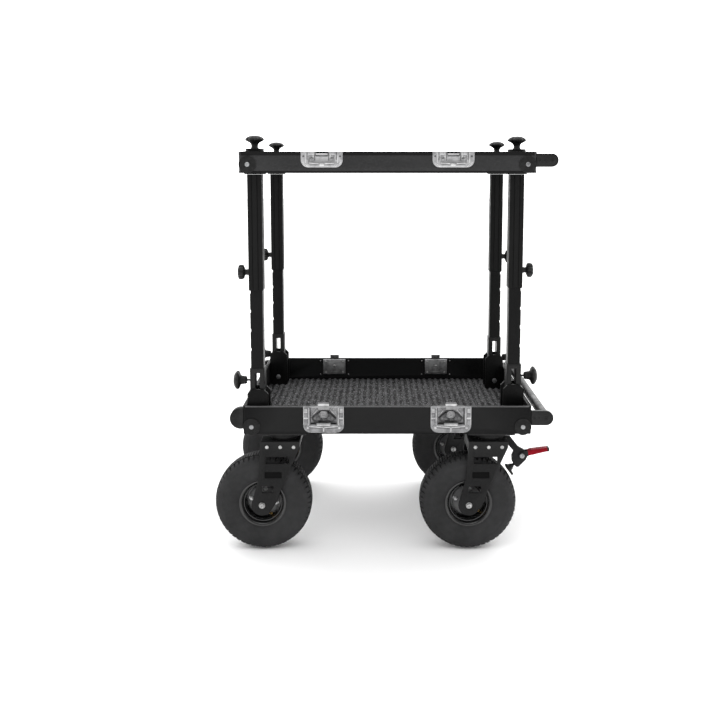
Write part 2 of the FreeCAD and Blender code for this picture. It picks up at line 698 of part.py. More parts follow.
def build():
    make_sheet()
    tray("lower_tray", "lower_z", "lower_height", "pan_width", "pan_low", "pan_top")
    tray("upper_tray", "upper_z", "upper_height", "keeper_pan_width", "keeper_pan_low", "keeper_pan_top")
    carpet("lower_carpet", "lower_z", "bracket_in", "(post_size/2 + face_gap + cheek)")
    carpet("upper_carpet", "upper_z", "socket_size/2", "socket_size/2")
    post_brackets()
    handle("lower_handle", "lower_handle_z", "lower_arm_radius")
    handle("upper_handle", "upper_handle_z", "upper_arm_radius")
    corner_guards()
    finish(group(*wall_discs("upper_disc_z")), "upper_discs", ("tray_x", 0, 0))
    finish(on_long_walls(latch_dish, "lower_z"), "latch_dishes")
    finish(on_long_walls(keeper_dish, "upper_z"), "keeper_dishes")
    finish(on_long_walls(latch_core, "lower_z"), "latch_cores")
    latch_wings()
    chassis_fasteners()
    finish(group(*disc_screws("upper_disc_z")), "shelf_fasteners")
    post_sockets()
    lower_posts()
    upper_posts()
    side_knobs()
    lock_knobs()
    top_knobs()
    caster_plates()
    forks()
    fork_bolts()
    wheels()
    brakes()
    doc.recompute()


def check():
    """Stops on any failed object or bad shape."""
    for item in doc.Objects:
        if {"Invalid", "Error"} & set(item.State):
            raise RuntimeError(f"{item.Name} ({item.Label}) failed: {item.State}")
    for item in sub_parts:
        if item.Shape.isNull() or not item.Shape.isValid() or not item.Shape.Solids:
            raise RuntimeError(f"{item.Label} has no valid solid")


def write():
    os.makedirs("parts", exist_ok=True)
    for item in sub_parts:
        item.Shape.exportStep(f"parts/{item.Label}.step")
    bounds = FreeCAD.BoundBox()
    for item in sub_parts:
        bounds.add(item.Shape.BoundBox)
    print(f"{len(sub_parts)} sub-parts, X {bounds.XMin:.1f}..{bounds.XMax:.1f}", end=", ")
    print(f"Y {bounds.YMin:.1f}..{bounds.YMax:.1f}, Z {bounds.ZMin:.1f}..{bounds.ZMax:.1f} mm")


build()
check()
write()
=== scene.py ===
import json
import math

import bmesh
import bpy
import numpy as np
from mathutils import Euler, Matrix, Vector


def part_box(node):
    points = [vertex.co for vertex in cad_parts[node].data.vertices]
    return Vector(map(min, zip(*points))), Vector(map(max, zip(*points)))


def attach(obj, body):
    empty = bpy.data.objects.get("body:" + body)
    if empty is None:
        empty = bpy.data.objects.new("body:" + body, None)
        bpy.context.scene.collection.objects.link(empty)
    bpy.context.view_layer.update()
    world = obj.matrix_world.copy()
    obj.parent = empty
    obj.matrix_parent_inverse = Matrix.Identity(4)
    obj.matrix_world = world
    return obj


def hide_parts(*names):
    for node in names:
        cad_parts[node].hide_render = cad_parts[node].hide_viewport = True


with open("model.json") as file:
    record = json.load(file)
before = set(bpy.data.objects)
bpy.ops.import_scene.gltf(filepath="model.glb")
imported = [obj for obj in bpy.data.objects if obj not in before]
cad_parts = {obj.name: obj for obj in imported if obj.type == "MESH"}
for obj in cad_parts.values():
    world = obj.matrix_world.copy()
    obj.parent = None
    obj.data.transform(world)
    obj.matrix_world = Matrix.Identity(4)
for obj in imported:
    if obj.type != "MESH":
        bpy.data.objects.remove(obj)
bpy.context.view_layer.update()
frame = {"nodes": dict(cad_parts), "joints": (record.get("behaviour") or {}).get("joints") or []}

MM = 0.001

# Name, X side (+1 is the handle end) and Y side (+1 is the rear) of each corner.
CORNERS = (
    ("front_left", -1, -1), ("front_right", 1, -1), ("rear_left", -1, 1), ("rear_right", 1, 1),
)
TRAY_LOW, TRAY_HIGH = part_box("lower_tray")
SHELF_LOW, SHELF_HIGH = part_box("upper_tray")
TRAY_MID = (TRAY_LOW + TRAY_HIGH) / 2
SHARP = math.radians(28)  # edges that turn by more than this are rounded
WALL = 8 * MM  # from a tray's outside to the inside of its wall's flange
LATCH_X = 165.5 * MM  # from the cart's middle to a latch
DISC_X = 353 * MM  # and to a wall disc
SHELF_DISC_Z = 1025.5 * MM
TRAY_DISC_Z = 347 * MM
PIVOT_Z = 358 * MM  # the pins that the posts fold about
LEG_SCREW_Z = 288.5 * MM  # the screws along the top of a fork's legs
FORK_HALF = 48 * MM  # from a wheel's middle to the outside of a fork leg
TRAIL = 57 * MM  # from an axle to its swivel


# -------- mesh helpers

def mesh_from(bm, name, smooth_angle=35):
    """A mesh with soft shading, and sharp edges kept above an angle."""
    bmesh.ops.recalc_face_normals(bm, faces=bm.faces)
    mesh = bpy.data.meshes.new(name)
    bm.to_mesh(mesh)
    bm.free()
    mesh.polygons.foreach_set("use_smooth", [True] * len(mesh.polygons))
    mesh.set_sharp_from_angle(angle=math.radians(smooth_angle))
    return mesh


def show(name, mesh, material, body, nodes=(), matrix=None):
    """Puts a mesh into the scene as a piece that rides on a body and may stand for CAD nodes."""
    piece = bpy.data.objects.new(name, mesh)
    bpy.context.scene.collection.objects.link(piece)
    if matrix is not None:
        piece.matrix_world = matrix
    if not mesh.materials:
        mesh.materials.append(material)
    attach(piece, body)
    if nodes:
        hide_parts(*nodes)
    return piece


def bevel_sharp(bm, width, segments=2):
    """Rounds every sharp edge."""
    sharp = [e for e in bm.edges if len(e.link_faces) == 2 and e.calc_face_angle(0) > SHARP]
    bmesh.ops.bevel(
        bm, geom=sharp, offset=width, offset_type="OFFSET", segments=segments,
        profile=0.5, affect="EDGES", clamp_overlap=True,
    )


def softened(node, material, body, width=0.8 * MM):
    """A CAD node's own shape with its sharp edges rounded, as on a pressed or moulded part."""
    bm = bmesh.new()
    bm.from_mesh(frame["nodes"][node].data)
    bmesh.ops.remove_doubles(bm, verts=bm.verts, dist=1e-6)
    bmesh.ops.dissolve_limit(bm, angle_limit=math.radians(0.6), verts=bm.verts, edges=bm.edges)
    bevel_sharp(bm, width)
    return show(f"{node}_body", mesh_from(bm, node), material, body, [node])


def add_block(bm, size, centre, bevel=0.0, turn=None):
    """A block with rounded edges."""
    part = bmesh.new()
    bmesh.ops.create_cube(part, size=1)
    bmesh.ops.scale(part, vec=Vector(size), verts=part.verts)
    if bevel:
        bmesh.ops.bevel(
            part, geom=part.edges[:], offset=bevel, segments=2, affect="EDGES", profile=0.5,
        )
    turned = turn.to_4x4() if turn else Matrix.Identity(4)
    merge(bm, part, Matrix.Translation(Vector(centre)) @ turned)


def merge(bm, part, matrix=Matrix.Identity(4)):
    """Adds one bmesh to another, moved by a matrix, and frees it."""
    bmesh.ops.transform(part, matrix=matrix, verts=part.verts)
    mesh = bpy.data.meshes.new("part")
    part.to_mesh(mesh)
    part.free()
    bm.from_mesh(mesh)
    bpy.data.meshes.remove(mesh)


def skin(bm, lower, upper):
    """Joins two rings of points with a band of faces."""
    for n in range(len(lower)):
        after = (n + 1) % len(lower)
        bm.faces.new((lower[n], lower[after], upper[after], upper[n]))


def lathe(profile, steps=64, lobes=0, lobe_depth=0.0, lobe_from=1.0):
    """A solid of revolution about Z from (radius, height) points, scalloped outside a radius."""
    bm = bmesh.new()
    rings = []
    for radius, height in profile:
        if radius <= 0:
            rings.append([bm.verts.new((0, 0, height))])
            continue
        ring = []
        for step in range(steps):
            turn = 2 * math.pi * step / steps
            scallop = 0.5 - 0.5 * math.cos(lobes * turn)
            inset = lobe_depth * scallop ** 2 if lobes and radius > lobe_from else 0
            ring.append(bm.verts.new((
                (radius - inset) * math.cos(turn), (radius - inset) * math.sin(turn), height,
            )))
        rings.append(ring)
    closed = rings[0] if profile[0][0] > 0 and profile[-1][0] > 0 else None
    pairs = list(zip(rings, rings[1:])) + ([(rings[-1], closed)] if closed else [])
    for lower, upper in pairs:
        for step in range(steps):
            after = (step + 1) % steps
            corners = [
                lower[step % len(lower)], lower[after % len(lower)],
                upper[after % len(upper)], upper[step % len(upper)],
            ]
            bm.faces.new(list(dict.fromkeys(corners)))
    return bm


def rod(radius, half, steps=32):
    """A round bar about Z, from -half to +half."""
    return lathe(((0, -half), (radius, -half), (radius, half), (0, half)), steps)


def metres(points):
    """Points that are given in millimetres."""
    return [(a * MM, b * MM) for a, b in points]


def prism(outline, low, high, plane="XZ"):
    """A flat outline made thick: one in XZ runs along Y from low to high, one in YZ along X."""
    bm = bmesh.new()
    rings = []
    for level in (low, high):
        points = [(a, level, z) if plane == "XZ" else (level, a, z) for a, z in outline]
        rings.append([bm.verts.new(point) for point in points])
    bm.faces.new(rings[0])
    bm.faces.new(list(reversed(rings[1])))
    for n in range(len(outline)):
        after = (n + 1) % len(outline)
        bm.faces.new((rings[0][n], rings[1][n], rings[1][after], rings[0][after]))
    bmesh.ops.recalc_face_normals(bm, faces=bm.faces)
    return bm


def arc(centre, radius, start, end, steps=8):
    """Points of an arc, by angles in degrees."""
    angles = [math.radians(start + (end - start) * n / steps) for n in range(steps + 1)]
    return [(centre[0] + radius * math.cos(a), centre[1] + radius * math.sin(a)) for a in angles]


def rounded_square(size, corner):
    """The outline of a square with round corners, anticlockwise."""
    reach = size / 2 - corner
    centres = ((reach, reach, 0), (-reach, reach, 90), (-reach, -reach, 180), (reach, -reach, 270))
    return [p for x, y, start in centres for p in arc((x, y), corner, start, start + 90, 5)]


def shift(x, y, z):
    return Matrix.Translation((x, y, z))


def facing(depth):
    """Turns a fitting built for the front wall towards its own long wall."""
    return Matrix.Rotation(0 if depth < 0 else math.pi, 4, "Z")


def outward(side):
    """Turns a piece built along +Z to point out of the +X or the -X side."""
    return Matrix.Rotation(side * math.pi / 2, 4, "Y")


def flipped(side):
    """Turns a piece built for a wheel's +Z face to the face on its side."""
    return Matrix.Rotation(0 if side > 0 else math.pi, 4, "X")


def mid(node):
    """The middle of a CAD node at rest."""
    low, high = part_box(node)
    return (low + high) / 2


# -------- materials

def set_ends(made, low, high, to_low=0.0, to_high=1.0):
    """Sets both ranges of a Map Range node."""
    names = ("From Min", "From Max", "To Min", "To Max")
    for name, number in zip(names, (low, high, to_low, to_high)):
        made.inputs[name].default_value = number


class Shader:
    """A principled material that is put together from procedural textures on object coordinates."""

    def __init__(self, name, colour, roughness, metallic=0.0, specular=0.5):
        self.material = bpy.data.materials.new(name)
        self.material.use_nodes = True
        self.tree = self.material.node_tree
        self.surface = self.tree.nodes["Principled BSDF"]
        for socket, value in (
            ("Metallic", metallic), ("Roughness", roughness),
            ("Specular IOR Level", specular), ("Base Color", (*colour, 1)),
        ):
            self.surface.inputs[socket].default_value = value
        self.colour = None
        self.plain = colour
        self.bump = None
        self.place = self.tree.nodes.new("ShaderNodeTexCoord").outputs["Object"]

    def node(self, kind, **values):
        """A new node, with its sockets or fields set."""
        made = self.tree.nodes.new(kind)
        for field, value in values.items():
            if field in made.inputs:
                self.feed(made.inputs[field], value)
            else:
                setattr(made, field, value)
        return made

    def feed(self, socket, value):
        if isinstance(value, bpy.types.NodeSocket):
            self.tree.links.new(value, socket)
        else:
            socket.default_value = value

    def stretched(self, scale):
        mapping = self.node("ShaderNodeMapping")
        self.feed(mapping.inputs["Vector"], self.place)
        mapping.inputs["Scale"].default_value = scale
        return mapping.outputs["Vector"]

    def noise(self, scale, detail=4.0, stretch=None):
        vector = self.stretched(stretch) if stretch else self.place
        made = self.node(
            "ShaderNodeTexNoise", Vector=vector, Scale=scale, Detail=detail, Roughness=0.55,
        )
        return made.outputs["Fac"]

    def spots(self, scale):
        made = self.node("ShaderNodeTexVoronoi", Vector=self.place, Scale=scale)
        return made.outputs["Distance"]

    def span(self, value, *ends):
        """Maps a value from one range to another."""
        made = self.node("ShaderNodeMapRange", Value=value)
        set_ends(made, *ends)
        return made.outputs["Result"]

    def height(self):
        split = self.node("ShaderNodeSeparateXYZ")
        self.feed(split.inputs["Vector"], self.place)
        return split.outputs["Z"]

    def clouds(self, scale, detail, low, high, colour, most=1.0, stretch=None):
        """Mixes another colour in where a noise is high."""
        amount = self.span(self.noise(scale, detail, stretch), low, high, 0, most)
        self.blend_colour(amount, colour)

    def blend_colour(self, amount, colour):
        """Mixes another colour in where amount is high."""
        mix = self.node("ShaderNodeMix", data_type="RGBA")
        self.feed(mix.inputs[0], amount)
        if self.colour is None:
            mix.inputs[6].default_value = (*self.plain, 1)
        else:
            self.feed(mix.inputs[6], self.colour)
        mix.inputs[7].default_value = (*colour, 1)
        self.colour = mix.outputs[2]
        self.feed(self.surface.inputs["Base Color"], self.colour)

    def roughen(self, value, low, high):
        self.feed(self.surface.inputs["Roughness"], self.span(value, 0.3, 0.7, low, high))

    def emboss(self, value, strength, distance):
        """Adds a bump on top of the earlier ones."""
        made = self.node("ShaderNodeBump", Height=value)
        made.inputs["Strength"].default_value = strength
        made.inputs["Distance"].default_value = distance
        if self.bump is not None:
            self.feed(made.inputs["Normal"], self.bump)
        self.bump = made.outputs["Normal"]
        self.feed(self.surface.inputs["Normal"], self.bump)

    def worn_edges(self, colour, low=0.52, high=0.6):
        """Lighter, rubbed edges."""
        edge = self.node("ShaderNodeNewGeometry").outputs["Pointiness"]
        self.blend_colour(self.span(edge, low, high), colour)


def powder_coat(name, colour, lighter, roughness, specular):
    """Textured black paint: fine orange peel, faint cloudy dust and slightly rubbed edges."""
    shader = Shader(name, colour, roughness, specular=specular)
    shader.clouds(9, 5, 0.35, 0.75, lighter)
    shader.clouds(620, 4, 0.48, 0.66, [2 * c + 0.003 for c in lighter], 0.45)
    shader.worn_edges([1.8 * c + 0.005 for c in lighter])
    shader.roughen(shader.noise(60, 3), roughness - 0.07, roughness + 0.1)
    shader.emboss(shader.noise(1500, 2), 0.12, 0.0004)
    shader.emboss(shader.noise(260, 3), 0.05, 0.0006)
    return shader.material


def moulded_plastic(name, colour, lighter, roughness, specular):
    """Glass-filled nylon: pebbled grain and uneven sheen."""
    shader = Shader(name, colour, roughness, specular=specular)
    shader.clouds(120, 6, 0.4, 0.7, lighter)
    shader.worn_edges([2.5 * c + 0.01 for c in lighter], 0.53, 0.62)
    shader.roughen(shader.noise(90, 4), roughness - 0.1, roughness + 0.12)
    shader.emboss(shader.spots(1400), 0.2, 0.0004)
    return shader.material


def plated_steel(name, colour, darker, roughness, stretch=(1, 1, 1)):
    """Zinc-plated or brushed steel: fine drawn grain, cloudy plating and small handling marks."""
    shader = Shader(name, colour, roughness, metallic=0.9)
    shader.clouds(70, 6, 0.42, 0.7, darker)
    shader.clouds(420, 4, 0.55, 0.8, darker, 0.55, stretch)
    shader.roughen(shader.noise(150, 4, stretch), roughness - 0.1, roughness + 0.16)
    shader.emboss(shader.noise(700, 3, stretch), 0.12, 0.0003)
    return shader.material


def tyre_rubber():
    """Matte rubber with a dusty bloom and fine mould grain."""
    shader = Shader("tyre_rubber", (0.018, 0.018, 0.0185), 0.8, specular=0.2)
    shader.clouds(14, 6, 0.35, 0.8, (0.034, 0.034, 0.035))
    shader.clouds(380, 3, 0.6, 0.85, (0.055, 0.054, 0.052), 0.5)
    shader.roughen(shader.noise(40, 4), 0.68, 0.9)
    shader.emboss(shader.noise(900, 3), 0.25, 0.0005)
    return shader.material


def ribbed_carpet(name, base_height, pile):
    """Needle-felt carpet: charcoal fibres, pale flecks on the ribs and painted shade between them.
    """
    shader = Shader(name, (0.0015, 0.0015, 0.0016), 0.95, specular=0.05)
    # painted shade: the colour runs from near-black low between the ribs to grey on the rib tops
    rib = shader.span(shader.height(), base_height + 0.35 * pile, base_height + 0.8 * pile)
    shader.blend_colour(rib, (0.052, 0.052, 0.054))
    shader.clouds(260, 5, 0.52, 0.62, (0.17, 0.17, 0.175), 0.85, (1, 0.35, 1))
    shader.clouds(150, 5, 0.48, 0.66, (0.009, 0.009, 0.0092), 0.8)
    shader.surface.inputs["Sheen Weight"].default_value = 0.1
    shader.emboss(shader.noise(1200, 4), 0.6, 0.0012)
    return shader.material


def gloss_black():
    """Stove-enamelled rim: deep black gloss with light orange peel."""
    shader = Shader("rim_enamel", (0.004, 0.004, 0.0042), 0.2, specular=0.6)
    shader.clouds(30, 5, 0.4, 0.8, (0.014, 0.014, 0.014))
    shader.roughen(shader.noise(50, 4), 0.12, 0.3)
    shader.emboss(shader.noise(220, 2), 0.05, 0.0005)
    return shader.material


def red_grip():
    """Red moulded lever with a fine grain and paler rubbed edges."""
    shader = Shader("red_grip", (0.17, 0.0008, 0.005), 0.55, specular=0.06)
    shader.clouds(60, 5, 0.4, 0.75, (0.27, 0.002, 0.012))
    shader.worn_edges((0.36, 0.02, 0.035))
    shader.roughen(shader.noise(80, 4), 0.4, 0.62)
    shader.emboss(shader.noise(800, 3), 0.15, 0.0004)
    return shader.material


# The greys below are a level for red and green, and one for blue.
# Level, lighter level, roughness and specular of each coat.
COATS = {
    "tray": ((0.003, 0.0031), (0.005, 0.0051), 0.5, 0.06),
    "shelf": ((0.016, 0.0165), (0.023, 0.0235), 0.52, 0.16),
    # near-black coat that paints the shade along the shelf's top and bottom edges
    "lip": ((0.0025, 0.0026), (0.004, 0.004), 0.5, 0.05),
    # pale coat that paints the highlight of the lower tray's lit top edge
    "rim_highlight_line": ((0.03, 0.031), (0.045, 0.046), 0.35, 0.3),
    "post": ((0.0018, 0.0019), (0.0035, 0.0035), 0.42, 0.07),
    "inner": ((0.0035, 0.0036), (0.006, 0.006), 0.36, 0.12),
    "fork": ((0.0075, 0.0076), (0.012, 0.0121), 0.5, 0.1),
    # near-black coat of the sheets in the fork's windows: painted shade
    "pocket": ((0.0008, 0.0008), (0.0015, 0.0015), 0.7, 0.02),
    "handle": ((0.005, 0.0051), (0.009, 0.009), 0.36, 0.15),
    "hub": ((0.05, 0.0505), (0.07, 0.0705), 0.5, 0.3),
}
# Name, level, darker level, roughness and how far the grain is squeezed along Z.
STEELS = {
    "latch": ("latch_zinc", (0.25, 0.255), (0.13, 0.133), 0.36, 6),
    "keeper": ("keeper_zinc", (0.42, 0.425), (0.26, 0.265), 0.36, 6),
    # the two bead steels are pale so that they paint the highlights along the raised beads
    "bead": ("bead_highlight_steel", (0.56, 0.56), (0.34, 0.345), 0.34, 4),
    "keeper_bead": ("keeper_bead_highlight_steel", (0.6, 0.6), (0.42, 0.425), 0.34, 1),
    # the seam steel is dark so that it paints the shade in pressed seams, slots and recesses
    "seam": ("seam_shade_steel", (0.12, 0.122), (0.06, 0.061), 0.45, 1),
    "hook": ("hook_steel", (0.24, 0.243), (0.15, 0.152), 0.32, 4),
    "back": ("back_steel", (0.34, 0.343), (0.17, 0.172), 0.45, 1),
    "wing": ("wing_steel", (0.10, 0.102), (0.045, 0.046), 0.42, 1),
    "dimple": ("dimple_steel", (0.17, 0.172), (0.09, 0.092), 0.42, 1),
    "bolt": ("bolt_zinc", (0.46, 0.455), (0.24, 0.24), 0.32, 1),
}


def grey(level, blue):
    return (level, level, blue)


def make_materials():
    mats = {
        "guard": moulded_plastic("guard_plastic", [0.006] * 3, [0.014] * 3, 0.6, 0.15),
        "knob": moulded_plastic("knob_plastic", [0.005] * 3, [0.011] * 3, 0.45, 0.2),
        "rib": moulded_plastic("rib_plastic", (0.22, 0.03, 0.04), (0.3, 0.08, 0.09), 0.5, 0.12),
        "dark_bolt": plated_steel("dark_bolt", (0.33, 0.335, 0.34), (0.17, 0.17, 0.175), 0.4),
        "brass": plated_steel("valve_brass", (0.55, 0.38, 0.15), (0.35, 0.22, 0.07), 0.35),
        "tyre": tyre_rubber(),
        "rim": gloss_black(),
        "red": red_grip(),
    }
    for key, (level, lighter, roughness, specular) in COATS.items():
        mats[key] = powder_coat(f"{key}_coat", grey(*level), grey(*lighter), roughness, specular)
    for key, (name, level, darker, roughness, squeeze) in STEELS.items():
        mats[key] = plated_steel(name, grey(*level), grey(*darker), roughness, (1, 1, squeeze))
    return mats


# -------- small hardware

def cap_screw(radius, height, socket=0.45):
    """A button head with a hexagonal socket, along +Z from 0 to its height."""
    depth = 0.55 * height
    hollow = socket * radius
    profile = (
        (0, height - depth), (hollow, height - depth), (hollow, height), (0.62 * radius, height),
        (0.86 * radius, 0.82 * height), (radius, 0.4 * height), (radius, 0), (0, 0),
    )
    return lathe(profile, 24)


def hex_head(radius, height):
    """A hexagonal head with a chamfered top."""
    profile = (
        (0, height), (0.8 * radius, height), (radius, 0.8 * height), (radius, 0), (0, 0),
    )
    return lathe(profile, 6)


def rivet(radius, height):
    """A domed head."""
    profile = (
        (0, height), (0.45 * radius, 0.95 * height), (0.8 * radius, 0.6 * height),
        (radius, 0), (0, 0),
    )
    return lathe(profile, 20)


TO_FRONT = Matrix.Rotation(math.pi / 2, 4, "X")  # turns +Z to face the front


# -------- trays

def wall_screws(name, body, node_group, height, mats):
    """The button-head screws in the middle of the wall discs."""
    bm = bmesh.new()
    for _, side, depth in CORNERS:
        spot = (TRAY_MID.x + side * DISC_X, depth * (TRAY_HIGH.y + 3 * MM), height)
        turn = facing(depth) @ TO_FRONT
        merge(bm, cap_screw(5.8 * MM, 1.6 * MM), Matrix.Translation(spot) @ turn)
    return show(name, mesh_from(bm, name), mats["dark_bolt"], body, node_group)


def lips(name, low, high, top, bottom, material, body):
    """The rolled lips that stand proud along the top and bottom of the walls. Their coat is painted
    light: painted shade on the shelf's lips, and a painted highlight on the lower tray's rim line.
    """
    bm = bmesh.new()
    proud, inset = 0.9 * MM, 12 * MM
    length, width = high.x - low.x, high.y - low.y
    for height, z in ((top, high.z - top / 2), (bottom, low.z + bottom / 2)):
        if height <= 0:
            continue
        for side in (-1, 1):
            along = (length - inset, 2 * proud, height)
            add_block(bm, along, (TRAY_MID.x, side * width / 2, z), 0.5 * MM)
            across = (2 * proud, width - inset, height)
            add_block(bm, across, (TRAY_MID.x + side * length / 2, 0, z), 0.5 * MM)
    return show(name, mesh_from(bm, name), material, body)


def carpet(name, node, body, clearances):
    """A ribbed liner: ribs across the tray with an uneven, fibrous top, cut out round the posts."""
    low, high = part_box(node)
    pile = 4.2 * MM
    pitch = 18.2 * MM
    rng = np.random.default_rng(7)
    xs = np.append(np.arange(low.x, high.x, pitch / 7), high.x)
    ys = np.linspace(low.y, high.y, 150)
    phase = 2 * np.pi * (xs - TRAY_MID.x) / pitch
    rib = np.clip(0.4 + 0.8 * np.cos(phase), 0, 1) ** 0.7
    tuft = rng.random((len(xs), len(ys)))
    wave = 0.12 * np.sin(ys[None, :] / (9 * MM) + 3 * np.sin(xs[:, None] * 40))
    sunk = np.clip(1 - rib[:, None] + 0.3 * tuft * rib[:, None] + wave, 0, 1)
    top = high.z - pile * sunk
    bm = bmesh.new()
    grid = [[bm.verts.new((x, y, top[i, j])) for j, y in enumerate(ys)] for i, x in enumerate(xs)]
    for i in range(len(xs) - 1):
        for j in range(len(ys) - 1):
            x, y = (xs[i] + xs[i + 1]) / 2, (ys[j] + ys[j + 1]) / 2
            if any(abs(x - cx) < hx and abs(y - cy) < hy for cx, cy, hx, hy in clearances):
                continue
            bm.faces.new((grid[i][j], grid[i + 1][j], grid[i + 1][j + 1], grid[i][j + 1]))
    bmesh.ops.delete(bm, geom=[v for v in bm.verts if not v.link_faces], context="VERTS")
    under = bmesh.ops.extrude_face_region(bm, geom=bm.faces[:])
    for vert in (v for v in under["geom"] if isinstance(v, bmesh.types.BMVert)):
        vert.co.z = low.z
    material = ribbed_carpet(f"{name}_pile", high.z - pile, pile)
    return show(name, mesh_from(bm, name, 60), material, body, [node])


def trays(mats):
    softened("lower_tray", mats["tray"], "chassis", 1.0 * MM)
    softened("upper_tray", mats["shelf"], "shelf", 1.0 * MM)
    # the near-black coat of these strips is painted shade along the shelf's walls
    lips("upper_tray_lips", SHELF_LOW, SHELF_HIGH, 9.5 * MM, 5 * MM, mats["lip"], "shelf")
    # a thin strip whose pale coat is a painted highlight along the lower tray's top edge
    lips("lower_tray_rim_highlight", TRAY_LOW, TRAY_HIGH, 2.6 * MM, 0, mats["rim_highlight_line"], "chassis")
    brackets = []
    sockets = []
    for name, side, _ in CORNERS:
        x, y, _ = mid(f"upper_post_{name}")
        brackets.append((x - side * 1 * MM, y, 29 * MM, 25.5 * MM))
        sockets.append((x, y, 27 * MM, 27 * MM))
    carpet("lower_liner", "lower_carpet", "chassis", brackets)
    carpet("upper_liner", "upper_carpet", "shelf", sockets)


def guards(mats):
    softened("corner_guards", mats["guard"], "chassis", 1.2 * MM)
    softened("upper_discs", mats["guard"], "shelf", 0.9 * MM)
    wall_screws("shelf_screws", "shelf", ["shelf_fasteners"], SHELF_DISC_Z, mats)
    wall_screws("chassis_screws", "chassis", [], TRAY_DISC_Z, mats)


def pivot_pins(mats):
    """Hexagonal heads on the pins that the posts fold about."""
    bm = bmesh.new()
    half = 24.3 * MM
    for name, _, _ in CORNERS:
        x, y, _ = mid(f"upper_post_{name}")
        for face in (-1, 1):
            at = shift(x, y + face * half, PIVOT_Z) @ facing(face) @ TO_FRONT
            merge(bm, hex_head(8 * MM, 4 * MM), at)
        merge(bm, rod(6 * MM, half), shift(x, y, PIVOT_Z) @ TO_FRONT)
    mesh = mesh_from(bm, "pins")
    return show(
        "pivot_pins", mesh, mats["dark_bolt"], "chassis", ["chassis_fasteners"],
    )


# -------- latches and keepers

# Latches and keepers are built in place on the front wall: X is across, Y = 0 is the wall's
# outside and grows into the cart, and Z = 0 is the tray's lowest edge.
TAB_Y = -4.1 * MM  # the face of the hook and the draw tab
FRAME_Y = -2 * MM  # the pressed frame's face
WING_Y = 8 * MM  # the wings' hinge
DISH_Y = 14.4 * MM  # the dish's floor
COVER_Y = 16.8 * MM  # the back of the cover behind the dish
BOSS_Z = 52 * MM
# Width, lowest edge and highest edge of the covers, in millimetres.
LATCH_COVER = (71.5, 24.2, 71.8)
KEEPER_COVER = (68.2, 22.2, 45.8)


def dimple(radius, height):
    """A pressed ring round a small cup."""
    profile = (
        (0, 0.2 * height), (0.5 * radius, 0.2 * height), (0.66 * radius, height),
        (0.86 * radius, height), (radius, 0), (0, -0.4 * MM),
    )
    return lathe(profile, 24)


def bar(bm, start, end, wide, high, y):
    """A raised bead between two (x, z) points, in millimetres, at a depth in metres."""
    (x0, z0), (x1, z1) = start, end
    length = math.hypot(x1 - x0, z1 - z0)
    tilt = Euler((0, -math.atan2(z1 - z0, x1 - x0), 0)).to_matrix()
    centre = ((x0 + x1) / 2 * MM, y, (z0 + z1) / 2 * MM)
    size = ((length + wide) * MM, high * MM, wide * MM)
    add_block(bm, size, centre, 0.35 * min(wide, high) * MM, tilt)


def bars(bm, y, *rows):
    """Beads on both sides. A row is x and z of one end, x and z of the other, width and height."""
    for x0, z0, x1, z1, wide, high in rows:
        for side in (-1, 1):
            bar(bm, (side * x0, z0), (side * x1, z1), wide, high, y)


def studs(bm, y, radius, height, spots, shape=rivet, turn=TO_FRONT):
    """Heads at (x, z) spots on both sides, in millimetres."""
    for x, z in spots:
        for side in (-1, 1):
            at = shift(side * x * MM, y, z * MM) @ turn
            merge(bm, shape(radius * MM, height * MM), at)


def latch_beads(bm):
    """Embossed beads and rivets of a latch, in a bright steel that paints the highlights on them.
    """
    studs(bm, FRAME_Y, 3.4, 1.5, [(40.5, 16.5)])
    bars(
        bm, FRAME_Y, (43.4, 59.4, 48.6, 59.4, 2.6, 1.8), (43.4, 64.6, 48.6, 64.6, 2.6, 1.8),
        (42.6, 42.6, 49.4, 42.6, 3.4, 1.8), (3, 17.8, 36, 21, 2.6, 2),
        (51.6, 26, 51.6, 72, 1, 1), (38, 25, 38, 70, 1.2, 1.4),
    )
    bar(bm, (0, 8), (0, 16), 3, 1.4, FRAME_Y)
    bar(bm, (-33, 5), (33, 5), 1, 1, FRAME_Y)
    bar(bm, (-36, 72.8), (36, 72.8), 1.2, 1.2, FRAME_Y)
    bar(bm, (-12.4, 79), (12.4, 79), 4.6, 1, TAB_Y)
    bar(bm, (-15, 25), (15, 25), 3, 1, TAB_Y)
    bars(bm, DISH_Y, (17, 60, 33, 42, 2.4, 2.2), (22, 68, 31, 66, 2, 2))
    studs(bm, DISH_Y, 1.5, 1.2, [(20, 64), (25, 61), (30.5, 55)])


def latch_seams(bm):
    """Pressed seams beside the beads, in a dark steel that paints the shade in them."""
    bars(
        bm, FRAME_Y, (35.8, 26, 35.8, 70, 1.6, 0.7), (42, 30, 42, 68, 1.4, 0.7),
        (4, 14.8, 36, 16.6, 1.6, 0.7), (50, 54, 42, 54, 1, 0.7),
        (50, 36, 42, 36, 1, 0.7), (43, 25, 48, 21, 1.4, 0.7),
    )


def curled_hook(width, bottom, top):
    """A hook of thick sheet, curled back over its top edge."""
    sheet, curl = 2.2 * MM, 3 * MM
    y = -4.4 * MM
    centre = (y + curl, top - curl)
    outline = [(y, bottom), (y, top - curl)]
    outline += arc(centre, curl, 180, 45) + arc(centre, curl - sheet, 45, 180)
    outline += [(y + sheet, bottom)]
    return prism(outline, -width / 2, width / 2, "YZ")


